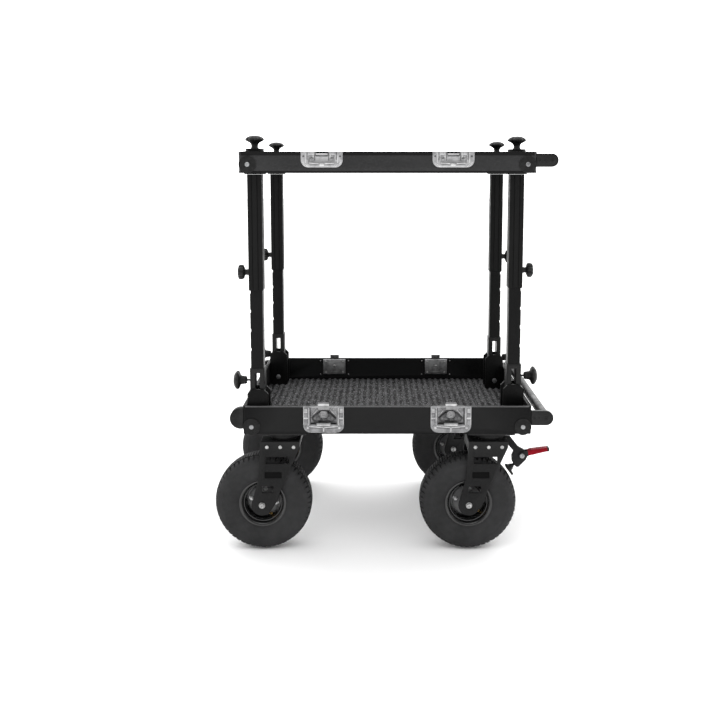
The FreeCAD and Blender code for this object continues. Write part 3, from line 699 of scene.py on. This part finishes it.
def latch_core(bm):
    """Hook, draw tab and the round boss with its key slot."""
    merge(bm, curled_hook(27.6 * MM, 66 * MM, 84.2 * MM))
    add_block(bm, (37 * MM, 2.4 * MM, 9.6 * MM), (0, -3.2 * MM, 25.9 * MM), 0.9 * MM)
    bar(bm, (-15, 22.2), (15, 22.2), 1.6, 1.2, -4 * MM)
    boss = (
        (0, -0.2), (3.2, -0.2), (3.8, 1), (6.4, 1), (7, 0.1), (8, 0.1), (8.6, 1), (9.9, 1),
        (10.5, 0.3), (10.5, -14.5), (0, -14.5),
    )
    merge(bm, lathe(metres(boss), 40), shift(0, 0, BOSS_Z) @ TO_FRONT)
    add_block(bm, (9 * MM, 1 * MM, 2 * MM), (0, -0.4 * MM, BOSS_Z), 0.3 * MM)


def latch_wings():
    """Two folding wings joined below the boss, about their hinge pin."""
    sheet = 2.3 * MM
    reach, room = 10.8, 14.2
    right = [(reach, 4.4), (30.4, -12.4), (31, -13.6), (28.6, -18.6), (26.4, -21), (25.4, -21.3)]
    left = [(-x, z) for x, z in reversed(right)]
    outline = right + left + [(-reach, -room), (reach, -room)]
    bm = prism(metres(outline), -sheet / 2, sheet / 2)
    bevel_sharp(bm, 0.4 * MM)
    merge(bm, rod(1.1 * MM, 12 * MM, 12), outward(1))
    return mesh_from(bm, "latch_wings")


def wing_dimples():
    """Pressed finger dimples and the middle seam on the wings."""
    bm = bmesh.new()
    front = -1.15 * MM
    studs(bm, front, 4.4, 0.7, [(12.6, -12.6)], dimple)
    studs(bm, front, 3.8, 0.7, [(22.8, -12.2)], dimple)
    bar(bm, (0, -20), (0, -15.6), 1.6, 0.8, front)
    return mesh_from(bm, "wing_dimples")


def keeper_beads(bm):
    """Frame beads and the stepped lip round the hook's seat of a keeper, in a bright steel that
    paints the highlights on them.
    """
    bars(
        bm, FRAME_Y, (40, 26, 40, 50, 1.6, 1.6), (21.4, 40, 21.4, 51, 2, 1.6),
        (9, 24, 31, 25, 2.4, 1.8), (34, 15.6, 48, 27, 1.6, 1.4),
    )
    studs(bm, DISH_Y, 2.6, 1.3, [(26, 38)])
    add_block(bm, (11 * MM, 1.8 * MM, 6.4 * MM), (0, FRAME_Y, 21 * MM), 0.8 * MM)
    bar(bm, (-13, 47.6), (13, 47.6), 3.4, 0.7, -0.9 * MM)
    bar(bm, (-26, 15.6), (26, 15.6), 1, 1.2, FRAME_Y)


def keeper_seams(bm):
    """Slots, screw recesses and seams of a keeper, in a dark steel that paints the shade in them.
    """
    studs(bm, FRAME_Y, 2.6, 1, [(46, 42)])
    bars(
        bm, FRAME_Y, (36.6, 34, 36.6, 52, 2.2, 0.8), (17.6, 32, 17.6, 52, 1.8, 0.8),
        (8, 20.4, 30, 20.4, 1.6, 0.8), (39, 19, 44, 23, 1.6, 0.8),
    )
    bars(bm, FRAME_Y + 1 * MM, (21.4, 37.6, 29, 37.6, 1.8, 0.8))
    bar(bm, (-14, 42.2), (14, 42.2), 1.8, 0.8, FRAME_Y)


def back_cover(bm, width, low, high):
    """The flat steel cover behind a pan."""
    sheet = 0.8 * MM
    centre = (0, COVER_Y - sheet / 2, (low + high) / 2 * MM)
    add_block(bm, (width * MM, sheet, (high - low) * MM), centre, 0.25 * MM)
    bar(bm, (-14, low + 8), (14, low + 8), 2, 1.4, COVER_Y)


def back_rivets(bm, _, low, high):
    """The rivets and the core's end that show on a back cover."""
    inward = Matrix.Rotation(-math.pi / 2, 4, "X")
    studs(bm, COVER_Y, 3.2, 1.4, [(28, low + 5), (28, high - 7)], turn=inward)
    core = shift(0, COVER_Y, ((low + high) / 2 + 3) * MM) @ inward
    merge(bm, rivet(4.6 * MM, 1.6 * MM), core)
    studs(bm, WALL, 2.6, 1.6, [(45.5, low - 3), (45.5, high - 6)], turn=inward)


def on_each_latch(name, make, measures, material, body, nodes=()):
    """One piece made of the same fitting at all four latches, or at all four keepers."""
    bm = bmesh.new()
    base = TRAY_LOW.z if body == "chassis" else SHELF_LOW.z
    for _, side, depth in CORNERS:
        part = bmesh.new()
        make(part, *measures)
        at = shift(TRAY_MID.x + side * LATCH_X, depth * TRAY_HIGH.y, base)
        merge(bm, part, at @ facing(depth))
    show(name, mesh_from(bm, name), material, body, nodes)


def latches(mats):
    softened("latch_dishes", mats["latch"], "chassis", 0.6 * MM)
    softened("keeper_dishes", mats["keeper"], "shelf", 0.6 * MM)
    wings, dimples = latch_wings(), wing_dimples()
    for name, side, depth in CORNERS:
        y = depth * (TRAY_HIGH.y - WING_Y)
        at = shift(TRAY_MID.x + side * LATCH_X, y, TRAY_LOW.z + BOSS_Z) @ facing(depth)
        node = f"latch_wings_{name}"
        show(f"{node}_plate", wings, mats["wing"], node, [node], at)
        show(f"{node}_dimples", dimples, mats["dimple"], node, (), at)
    on_each_latch(
        "latch_hooks", latch_core, (), mats["hook"], "chassis", ["latch_cores"],
    )
    for name, make, measures, key, body, slot in (
        ("latch_beads", latch_beads, (), "bead", "chassis", "latch_plate"),
        ("latch_seams", latch_seams, (), "seam", "chassis", "latch_plate"),
        ("latch_backs", back_cover, LATCH_COVER, "back", "chassis", "latch_plate"),
        ("keeper_beads", keeper_beads, (), "keeper_bead", "shelf", "keeper_plate"),
        ("keeper_seams", keeper_seams, (), "seam", "shelf", "keeper_plate"),
        ("latch_rivets", back_rivets, LATCH_COVER, "bolt", "chassis", "bolt_steel"),
        ("keeper_rivets", back_rivets, KEEPER_COVER, "bolt", "shelf", "bolt_steel"),
        ("keeper_backs", back_cover, KEEPER_COVER, "back", "shelf", "keeper_plate"),
    ):
        on_each_latch(name, make, measures, mats[key], body)


# -------- posts

def grooved_outline(size, corner, groove_at, groove_half, groove_deep):
    """A square tube's outline with two shallow grooves in each face."""
    points = []
    reach = size / 2 - corner
    for quarter in range(4):
        turn = Matrix.Rotation(quarter * math.pi / 2, 2)
        side = [(size / 2, -reach)]
        for centre in (-groove_at, groove_at):
            side += [
                (size / 2, centre - groove_half),
                (size / 2 - groove_deep, centre - 0.4 * groove_half),
                (size / 2 - groove_deep, centre + 0.4 * groove_half),
                (size / 2, centre + groove_half),
            ]
        side += arc((reach, reach), corner, 0, 90, 5)[:-1]
        points += [tuple(turn @ Vector(p)) for p in side]
    return points


def outer_tube(node, mats, body):
    """The sliding tube: grooved faces, a chamfered lower mouth and a closed top."""
    low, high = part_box(node)
    centre = (low + high) / 2
    outline = grooved_outline(high.x - low.x, 4 * MM, 7 * MM, 1.3 * MM, 0.8 * MM)
    bore = rounded_square(34.4 * MM, 3.4 * MM)
    bm = bmesh.new()

    def ring(points, scale, z):
        return [bm.verts.new((centre.x + scale * x, centre.y + scale * y, z)) for x, y in points]

    top = high.z + 0.5 * MM
    levels = ((0.95, low.z), (1.0, low.z + 2 * MM), (1.0, top - 0.4 * MM), (0.99, top))
    rings = [ring(outline, scale, z) for scale, z in levels]
    for lower, upper in zip(rings, rings[1:]):
        skin(bm, lower, upper)
    bm.faces.new(rings[-1])
    mouth = ring(bore, 1.0, low.z)
    roof = ring(bore, 1.0, high.z - 3 * MM)
    skin(bm, roof, mouth)
    bm.faces.new(list(reversed(roof)))
    edges = [e for e in bm.edges if e.is_boundary]
    bmesh.ops.bridge_loops(bm, edges=edges)
    return show(f"{node}_tube", mesh_from(bm, node, 20), mats["post"], body, [node])


def posts(mats):
    softened("post_brackets", mats["post"], "chassis", 1.2 * MM)
    softened("post_sockets", mats["post"], "shelf", 0.4 * MM)
    for name, _, _ in CORNERS:
        softened(f"lower_post_{name}", mats["inner"], f"lower_post_{name}", 0.7 * MM)
        outer_tube(f"upper_post_{name}", mats, f"upper_post_{name}")


# -------- knobs

KNOB_SINK = 0.3 * MM  # every knob's profile starts this far above its CAD node's foot


def top_knob():
    """A lens-shaped, scalloped cap on a flared neck."""
    profile = [(0, 33.9), (6, 33.7), (12, 32.6), (18, 30.4), (22, 27.6), (24.3, 24.4)]
    profile += [(24.3, 22.8), (22, 20.2), (17, 17.6), (12.5, 15.2), (10, 12.4), (8.7, 8.6)]
    profile += [(8.7, 4), (10.2, 2.2), (10.2, 0.4), (0, 0.4)]
    return lathe(metres(profile), 120, 10, 1.6 * MM, 16 * MM)


def lock_knob(long_rod):
    """A domed cap on a ribbed cone, and a thin rod where it stands away from the post."""
    start = 10 if long_rod else 0.4
    profile = [(0, 36), (7, 35.8), (14, 34.6), (20, 31.6), (24, 27.6), (25, 25.4), (24.4, 23.2)]
    profile += [(21, 20.4), (15, 18.2), (12.4, 16.4), (12.2, 15), (11.4, 14.6), (11.2, 9.6)]
    profile += [(10.6, 9.2), (10.4, 4), (9, 1.2)]
    points = [(r, z + start) for r, z in profile]
    if long_rod:
        points += [(2.6, start + 0.8), (2.6, 0.4), (0, 0.4)]
    else:
        points += [(9, 0.4), (0, 0.4)]
    return lathe(metres(points), 96, 12, 0.9 * MM, 19 * MM)


def side_knob():
    """A small clamping knob with seven deep scallops."""
    profile = [(0, 29.6), (9, 29.4), (14, 28.6), (18, 26.6), (19.4, 23.6), (19.4, 17.4)]
    profile += [(18, 14.4), (13, 12.4), (9.4, 11.2), (7.6, 10), (7.2, 6), (8, 5.4)]
    profile += [(8, 0.4), (0, 0.4)]
    return lathe(metres(profile), 98, 7, 4.2 * MM, 12 * MM)


def knobs(mats):
    shapes = {
        "top": mesh_from(top_knob(), "top_knob", 50),
        "side": mesh_from(side_knob(), "side_knob", 50),
        "front_lock": mesh_from(lock_knob(True), "front_lock_knob", 50),
        "rear_lock": mesh_from(lock_knob(False), "rear_lock_knob", 50),
    }
    for name, side, depth in CORNERS:
        low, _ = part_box(f"top_knob_{name}")
        x, y, _ = mid(f"top_knob_{name}")
        at = shift(x, y, low.z - KNOB_SINK)
        knob_piece("top_knob", name, shapes["top"], at, mats)
        lock = "front_lock" if depth < 0 else "rear_lock"
        for kind, shape in (("side_knob", "side"), ("lock_knob", lock)):
            low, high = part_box(f"{kind}_{name}")
            x = high.x + KNOB_SINK if side < 0 else low.x - KNOB_SINK
            _, y, z = mid(f"{kind}_{name}")
            at = shift(x, y, z) @ outward(side)
            knob_piece(kind, name, shapes[shape], at, mats)


def knob_piece(kind, name, mesh, at, mats):
    node = f"{kind}_{name}"
    show(f"{node}_cap", mesh, mats["knob"], node, [node], at)


# -------- handles

def handles(mats):
    softened("lower_handle", mats["handle"], "chassis", 1.4 * MM)
    softened("upper_handle", mats["handle"], "shelf", 1.4 * MM)
    for node, body in (("lower_handle", "chassis"), ("upper_handle", "shelf")):
        _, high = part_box(node)
        bm = bmesh.new()
        for depth in (-1, 1):
            for offset, head in (
                (39, cap_screw(8 * MM, 1.6 * MM, 0.4)),
                (8, cap_screw(3.2 * MM, 1.2 * MM)), (20, cap_screw(3.2 * MM, 1.2 * MM)),
            ):
                spot = (TRAY_HIGH.x + offset * MM, depth * high.y, mid(node).z)
                merge(bm, head, Matrix.Translation(spot) @ facing(depth) @ TO_FRONT)
        show(f"{node}_caps", mesh_from(bm, node), mats["handle"], body)


# -------- casters

def tread_depth(turn, across, side):
    """How far the tread is cut in, from 0 to 1, by angle in lug pitches and by place across."""
    lug = (turn + 0.5 * (side > 0)) % 1.0
    block_gap = (across > 0.34) & (np.abs(lug - 0.5) < 0.13)
    shoulder = np.where(block_gap, 1.0 - 0.6 * (across > 0.7), 0.0)
    zigzag = 0.30 + 0.05 * np.abs(2 * ((turn * 2) % 1.0) - 1)
    ring = np.where(np.abs(across - zigzag) < 0.04, 1.0, 0.0)
    sipe = np.where((across < 0.24) & (np.abs((turn * 2) % 1.0 - 0.5) < 0.12), 0.55, 0.0)
    return np.maximum(np.maximum(shoulder, ring), sipe)


def near(angle, middle, half_width):
    """Whether an angle is close to a line, given in degrees, on either side of the tyre."""
    return abs(abs(angle) - math.radians(middle)) < math.radians(half_width)


def tyre_mesh():
    """A block-tread pneumatic tyre about the Z axis, as one closed surface."""
    lugs, around, across = 54, 648, 96
    middle, half_high, half_wide = 91 * MM, 39 * MM, 38 * MM
    tread_edge = math.radians(57)
    bm = bmesh.new()
    rings = []
    for step in range(around):
        turn = step / around * lugs
        angle = 2 * math.pi * step / around
        ring = []
        for n in range(across):
            section = -math.pi + 2 * math.pi * n / across
            c, s = math.cos(section), math.sin(section)
            power = 2 / 3.3 if c > 0 else 2 / 3.6
            up = math.copysign(abs(c) ** power, c)
            out = math.copysign(abs(s) ** power, s)
            share = abs(section) / tread_edge
            tread = max(0.0, 1 - share)
            cut = float(tread_depth(turn, share, section)) if tread > 0 else 0.0
            depth = 4 * MM * cut * min(1.0, 5 * tread)
            ring_line = 0.7 * MM * near(section, 78, 3)
            bead_line = 0.8 * MM * near(section, 128, 4)
            shrink = 1 - (depth + 0.8 * MM - ring_line - bead_line) / half_high
            radius = middle + half_high * up * shrink
            ring.append(bm.verts.new((
                radius * math.cos(angle), radius * math.sin(angle), half_wide * out * shrink,
            )))
        rings.append(ring)
    for step in range(around):
        skin(bm, rings[step], rings[(step + 1) % around])
    return mesh_from(bm, "tyre", 40)


def rim_mesh():
    """The rim's barrel with rolled flanges, and the hub tube, about the Z axis."""
    half = [(6.1, 37), (17, 37), (19.5, 35.5), (20.5, 33), (20.5, 9), (40, 9), (41, 8), (41, 5)]
    half += [(45.5, 5), (46.5, 12), (46.8, 22), (47.6, 25.4), (49.4, 27.4), (51.2, 27.6)]
    half += [(51.9, 26.4), (51.9, 20)]
    whole = half + [(r, -z) for r, z in reversed(half)]
    return mesh_from(lathe(metres(whole), 96), "rim", 30)


def rim_lip():
    """The rolled flange that grips the tyre's bead, on both sides, about the Z axis."""
    both = bmesh.new()
    profile = metres((
        (51.4, 25), (53, 30), (55.6, 33.4), (58.6, 35.4), (61, 36), (62.6, 35.4), (62.8, 34),
        (58, 30), (51.4, 25),
    ))
    for side in (-1, 1):
        merge(both, lathe(profile, 128), flipped(side))
    return mesh_from(both, "rim_lip", 50)


def hub_details():
    """Face plates with four clamping bolts on each side, about the Z axis."""
    plates, bolts = bmesh.new(), bmesh.new()
    face = metres(((20.6, 9), (39.6, 9), (40.6, 9.6), (40.4, 11), (38, 12.4), (20.6, 12.4)))
    washer = metres(((0, 1), (7, 1), (7, 0), (0, 0)))
    stub = metres(((0, 9), (2.4, 9), (3, 8.2), (3, 5), (0, 5)))
    bolt_ring = 33 * MM
    for side in (-1, 1):
        merge(plates, lathe(face, 96), flipped(side))
        for quarter in range(4):
            angle = math.radians(80 + 90 * quarter)
            spot = (bolt_ring * math.cos(angle), bolt_ring * math.sin(angle), 11 * MM)
            at = flipped(side) @ Matrix.Translation(spot)
            merge(bolts, lathe(washer, 24), at)
            merge(bolts, hex_head(5.8 * MM, 5.5 * MM), at)
            merge(bolts, lathe(stub, 16), at)
    return mesh_from(plates, "plates", 30), mesh_from(bolts, "bolts", 30)


def valve_mesh():
    """A brass valve stem with its cap, standing out of the rim beside the face plate."""
    profile = [(0, 24), (2.8, 24), (3.4, 23), (3.4, 13), (2.4, 12.4), (2.4, 4), (3.2, 3.4)]
    bm = lathe(metres([*profile, (3.2, 0), (0, 0)]), 18)
    lean = Matrix.Rotation(math.radians(-35), 4, "Y")
    angle = math.radians(-38)
    at = Matrix.Rotation(angle, 4, "Z") @ shift(43.5 * MM, 0, 7 * MM) @ lean
    bmesh.ops.transform(bm, matrix=at, verts=bm.verts)
    return mesh_from(bm, "valve", 30)


def fork_hardware(name, mats):
    """Screws along the top of both legs, the axle bolt with washers, and near-black sheets on the
    windows' floors that are painted shade.
    """
    bm, pockets = bmesh.new(), bmesh.new()
    axle = mid(f"rim_{name}")
    swivel_x = axle.x + TRAIL
    washer = metres(((0, 1.2), (8, 1.2), (8.4, 0.6), (8.4, 0), (0, 0)))
    for face in (-1, 1):
        # a near-black sheet in each leg's window: painted shade
        pocket = (swivel_x - 26.5 * MM, axle.y + face * (FORK_HALF - 1.6 * MM), 212.5 * MM)
        add_block(pockets, (44.8 * MM, 0.8 * MM, 16.8 * MM), pocket, 0.3 * MM)
        turn = facing(face) @ TO_FRONT
        y = axle.y + face * FORK_HALF
        for x in (-42, -7, 28):
            spot = shift(swivel_x + x * MM, y, LEG_SCREW_Z) @ turn
            merge(bm, cap_screw(4.7 * MM, 1.6 * MM, 0.55), spot)
        spot = shift(axle.x, y, axle.z) @ turn
        merge(bm, lathe(washer, 32), spot)
        merge(bm, cap_screw(7 * MM, 5 * MM, 0.4), spot)
    merge(bm, rod(6 * MM, FORK_HALF), Matrix.Translation(axle) @ TO_FRONT)
    node, body = f"fork_bolts_{name}", f"fork_{name}"
    show(f"{node}_set", mesh_from(bm, node), mats["bolt"], body, [node])
    mesh = mesh_from(pockets, "pockets")
    show(f"fork_pockets_{name}", mesh, mats["pocket"], body)


def casters(mats):
    softened("caster_plates", mats["fork"], "chassis", 0.8 * MM)
    tyre, rim, valve = tyre_mesh(), rim_mesh(), valve_mesh()
    plates, bolts = hub_details()
    lip = rim_lip()
    for count, (name, _, _) in enumerate(CORNERS):
        softened(f"fork_{name}", mats["fork"], f"fork_{name}", 0.9 * MM)
        fork_hardware(name, mats)
        body = f"wheel_{name}"
        valve_turn = Matrix.Rotation(math.radians(17 * count - 25), 4, "Z")
        at = Matrix.Translation(mid(f"rim_{name}")) @ TO_FRONT
        show(f"tyre_{name}_tread", tyre, mats["tyre"], body, [f"tyre_{name}"], at)
        show(f"rim_{name}_barrel", rim, mats["rim"], body, [f"rim_{name}"], at)
        show(f"hub_plates_{name}", plates, mats["hub"], body, (), at)
        show(f"hub_bolts_{name}", bolts, mats["keeper_bead"], body, (), at)
        show(f"rim_lip_{name}", lip, mats["rim"], body, (), at)
        show(f"valve_{name}", valve, mats["brass"], body, (), at @ valve_turn)


# -------- brake

CHEEK_HALF = 9.2 * MM  # from the lever's middle to the outside of a cheek
SHOE_BACK = 38 * MM  # from the lever's hinge back to the shoe
SHOE_Z = 212 * MM


def moved_by(joint):
    """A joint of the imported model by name."""
    return next(j for j in frame["joints"] if j["name"] == joint)


def brake_lever():
    """The red grip, slightly cranked; its raised ribs along the top are a separate piece."""
    wide = 9.3 * MM
    top = [(14.4, 12.4), (22, 16), (46, 19), (70, 22.2), (72.4, 21)]
    under = [(72.6, 14), (71, 12.8), (46, 7.4), (30, 3.2), (16.4, 0.4)]
    bm = prism(metres(top + under), -wide, wide)
    bevel_sharp(bm, 2 * MM, 3)
    return mesh_from(bm, "brake_lever")


def lever_ribs():
    """Pale ribs along the top and the front edge of the grip."""
    bm = bmesh.new()
    for n in range(8):
        x = 26 + 5.4 * n
        z = 16.6 + 0.128 * (x - 24)
        add_block(bm, (1.8 * MM, 16 * MM, 2.4 * MM), (x * MM, 0, z * MM), 0.6 * MM)
    return mesh_from(bm, "lever_ribs")


def lever_tip():
    """The dark cap on the grip's end."""
    outline = [(66.4, 22), (71, 22.6), (72.9, 21), (72.9, 13.6), (71, 12.2), (67.4, 11.4)]
    bm = prism(metres(outline), -9.6 * MM, 9.6 * MM)
    bevel_sharp(bm, 1.2 * MM)
    return mesh_from(bm, "lever_tip")


def brake_cheeks():
    """The steel cheeks on both sides of the bracket."""
    outline = [(17, 13), (4, 12), (-6, 8), *arc((0, 0), 9, 140, 300, 10), (17, 0)]
    bm = bmesh.new()
    for side in (-1, 1):
        inner, outer = sorted((side * 6.4 * MM, side * CHEEK_HALF))
        plate = prism(metres(outline), inner, outer)
        bevel_sharp(plate, 0.5 * MM)
        merge(bm, plate)
    return mesh_from(bm, "brake_cheeks")


def brake_pivot():
    """The pivot bolt's shank with a cap on each cheek."""
    bm = bmesh.new()
    for face in (-1, 1):
        at = shift(0, face * CHEEK_HALF, 0) @ facing(face) @ TO_FRONT
        merge(bm, cap_screw(6.6 * MM, 2 * MM, 0.35), at)
    merge(bm, rod(4.9 * MM, CHEEK_HALF, 28), TO_FRONT)
    return mesh_from(bm, "brake_pivot")


def brake_shoe():
    """A ribbed pad on a threaded plunger with a lock nut, along +Z away from the tyre."""
    bm = bmesh.new()
    add_block(bm, (28 * MM, 24 * MM, 4.4 * MM), (4 * MM, 0, 3.8 * MM), 1 * MM)
    for n in range(3):
        radius, low = 10.5 - 1.2 * n, 6 + 3 * n
        collar = ((0, low), (radius, low), (radius, low + 2), (0, low + 2))
        merge(bm, lathe(metres(collar), 32))
    for n in range(7):
        add_block(bm, (2.6 * MM, 23.6 * MM, 3.4 * MM), ((-8 + 4 * n) * MM, 0, 1.9 * MM), 0.6 * MM)
    profile = [(0, 5), (3.6, 5)]
    for n in range(8):
        z = 7 + 2.8 * n
        profile += [(3.5, z), (4, z + 0.7), (4, z + 1.4), (3.5, z + 2.1)]
    profile += [(3.4, 29.6), (0, 30)]
    merge(bm, lathe(metres(profile), 28))
    merge(bm, hex_head(6.6 * MM, 4 * MM), shift(0, 0, 14 * MM))
    return mesh_from(bm, "brake_shoe")


def brakes(mats):
    lever, cheeks, pivot, shoe = brake_lever(), brake_cheeks(), brake_pivot(), brake_shoe()
    ribs, tip = lever_ribs(), lever_tip()
    for name, side, _ in CORNERS:
        if side < 0:
            continue
        body = f"brake_lever_{name}"
        x, y, z = moved_by(body)["pos_m"]
        at = shift(x, y, z)
        show(f"{body}_grip", lever, mats["red"], body, [body], at)
        show(f"{body}_ribs", ribs, mats["rib"], body, (), at)
        show(f"{body}_tip", tip, mats["knob"], body, (), at)
        show(f"{body}_cheeks", cheeks, mats["fork"], body, (), at)
        show(f"{body}_pivot", pivot, mats["dark_bolt"], body, (), at)
        body = f"brake_shoe_{name}"
        up = -Vector(moved_by(body)["axis"])
        tilt = Vector((0, 0, 1)).rotation_difference(up).to_matrix().to_4x4()
        at = shift(x - SHOE_BACK, y, SHOE_Z) @ tilt
        show(f"{body}_plunger", shoe, mats["fork"], body, [body], at)


# -------- stage

def soft_light(name, at, aim, size, power):
    """A round area light, aimed at a point."""
    data = bpy.data.lights.new(name, "AREA")
    data.shape = "DISK"
    data.size = size
    data.energy = power
    lamp = bpy.data.objects.new(name, data)
    bpy.context.scene.collection.objects.link(lamp)
    lamp.location = at
    lamp.rotation_euler = (Vector(aim) - Vector(at)).to_track_quat("-Z", "Y").to_euler()


def stage():
    """A pale floor, a white surround that is brightest above and behind, and a soft front light."""
    bm = bmesh.new()
    bmesh.ops.create_grid(bm, x_segments=1, y_segments=1, size=30)
    mesh = bpy.data.meshes.new("floor")
    bm.to_mesh(mesh)
    bm.free()
    floor = bpy.data.objects.new("floor", mesh)
    bpy.context.scene.collection.objects.link(floor)
    paint = Shader("floor_paint", (0.95, 0.95, 0.95), 0.9, specular=0.1)
    paint.blend_colour(paint.noise(3, 3), (0.96, 0.96, 0.96))
    mesh.materials.append(paint.material)

    world = bpy.data.worlds.new("studio")
    bpy.context.scene.world = world
    world.use_nodes = True
    tree = world.node_tree
    split = tree.nodes.new("ShaderNodeSeparateXYZ")
    direction = tree.nodes.new("ShaderNodeTexCoord").outputs["Generated"]
    tree.links.new(direction, split.inputs["Vector"])

    def ramp(letter, *ends):
        made = tree.nodes.new("ShaderNodeMapRange")
        made.interpolation_type = "SMOOTHSTEP"
        tree.links.new(split.outputs[letter], made.inputs["Value"])
        set_ends(made, *ends)
        return made.outputs["Result"]

    def brightest(one, other):
        made = tree.nodes.new("ShaderNodeMath")
        made.operation = "MAXIMUM"
        tree.links.new(one, made.inputs[0])
        tree.links.new(other, made.inputs[1])
        return made.outputs["Value"]

    behind = ramp("Y", -0.6, 0.3, 0.35, 2.6)
    above = ramp("Z", 0.55, 0.9, 0.35, 1.9)
    horizon = ramp("Z", 0.26, 0.36, 1.05, 0.35)
    white = tree.nodes["Background"].inputs
    tree.links.new(brightest(brightest(behind, above), horizon), white["Strength"])
    white["Color"].default_value = (1, 1, 1, 1)
    soft_light("key", (-0.6, -2.2, 3.2), (0, 0, 0.5), 2, 12)
    bpy.context.scene.view_settings.view_transform = "Standard"


def camera():
    """A camera in front of the cart at shelf height, looking slightly down, with a little shift."""
    data = bpy.data.cameras.new("camera")
    data.lens = 40.06
    data.sensor_width = 36
    data.shift_x = -0.0233
    data.shift_y = -0.1421
    eye = bpy.data.objects.new("camera", data)
    bpy.context.scene.collection.objects.link(eye)
    eye.location = (-0.0142, -2.3025, 1.0027)
    eye.rotation_euler = (math.radians(84), 0, 0)
    bpy.context.scene.camera = eye


# -------- the cart

def build():
    mats = make_materials()
    trays(mats)
    guards(mats)
    latches(mats)
    posts(mats)
    pivot_pins(mats)
    knobs(mats)
    handles(mats)
    casters(mats)
    brakes(mats)
    stage()
    camera()


build()
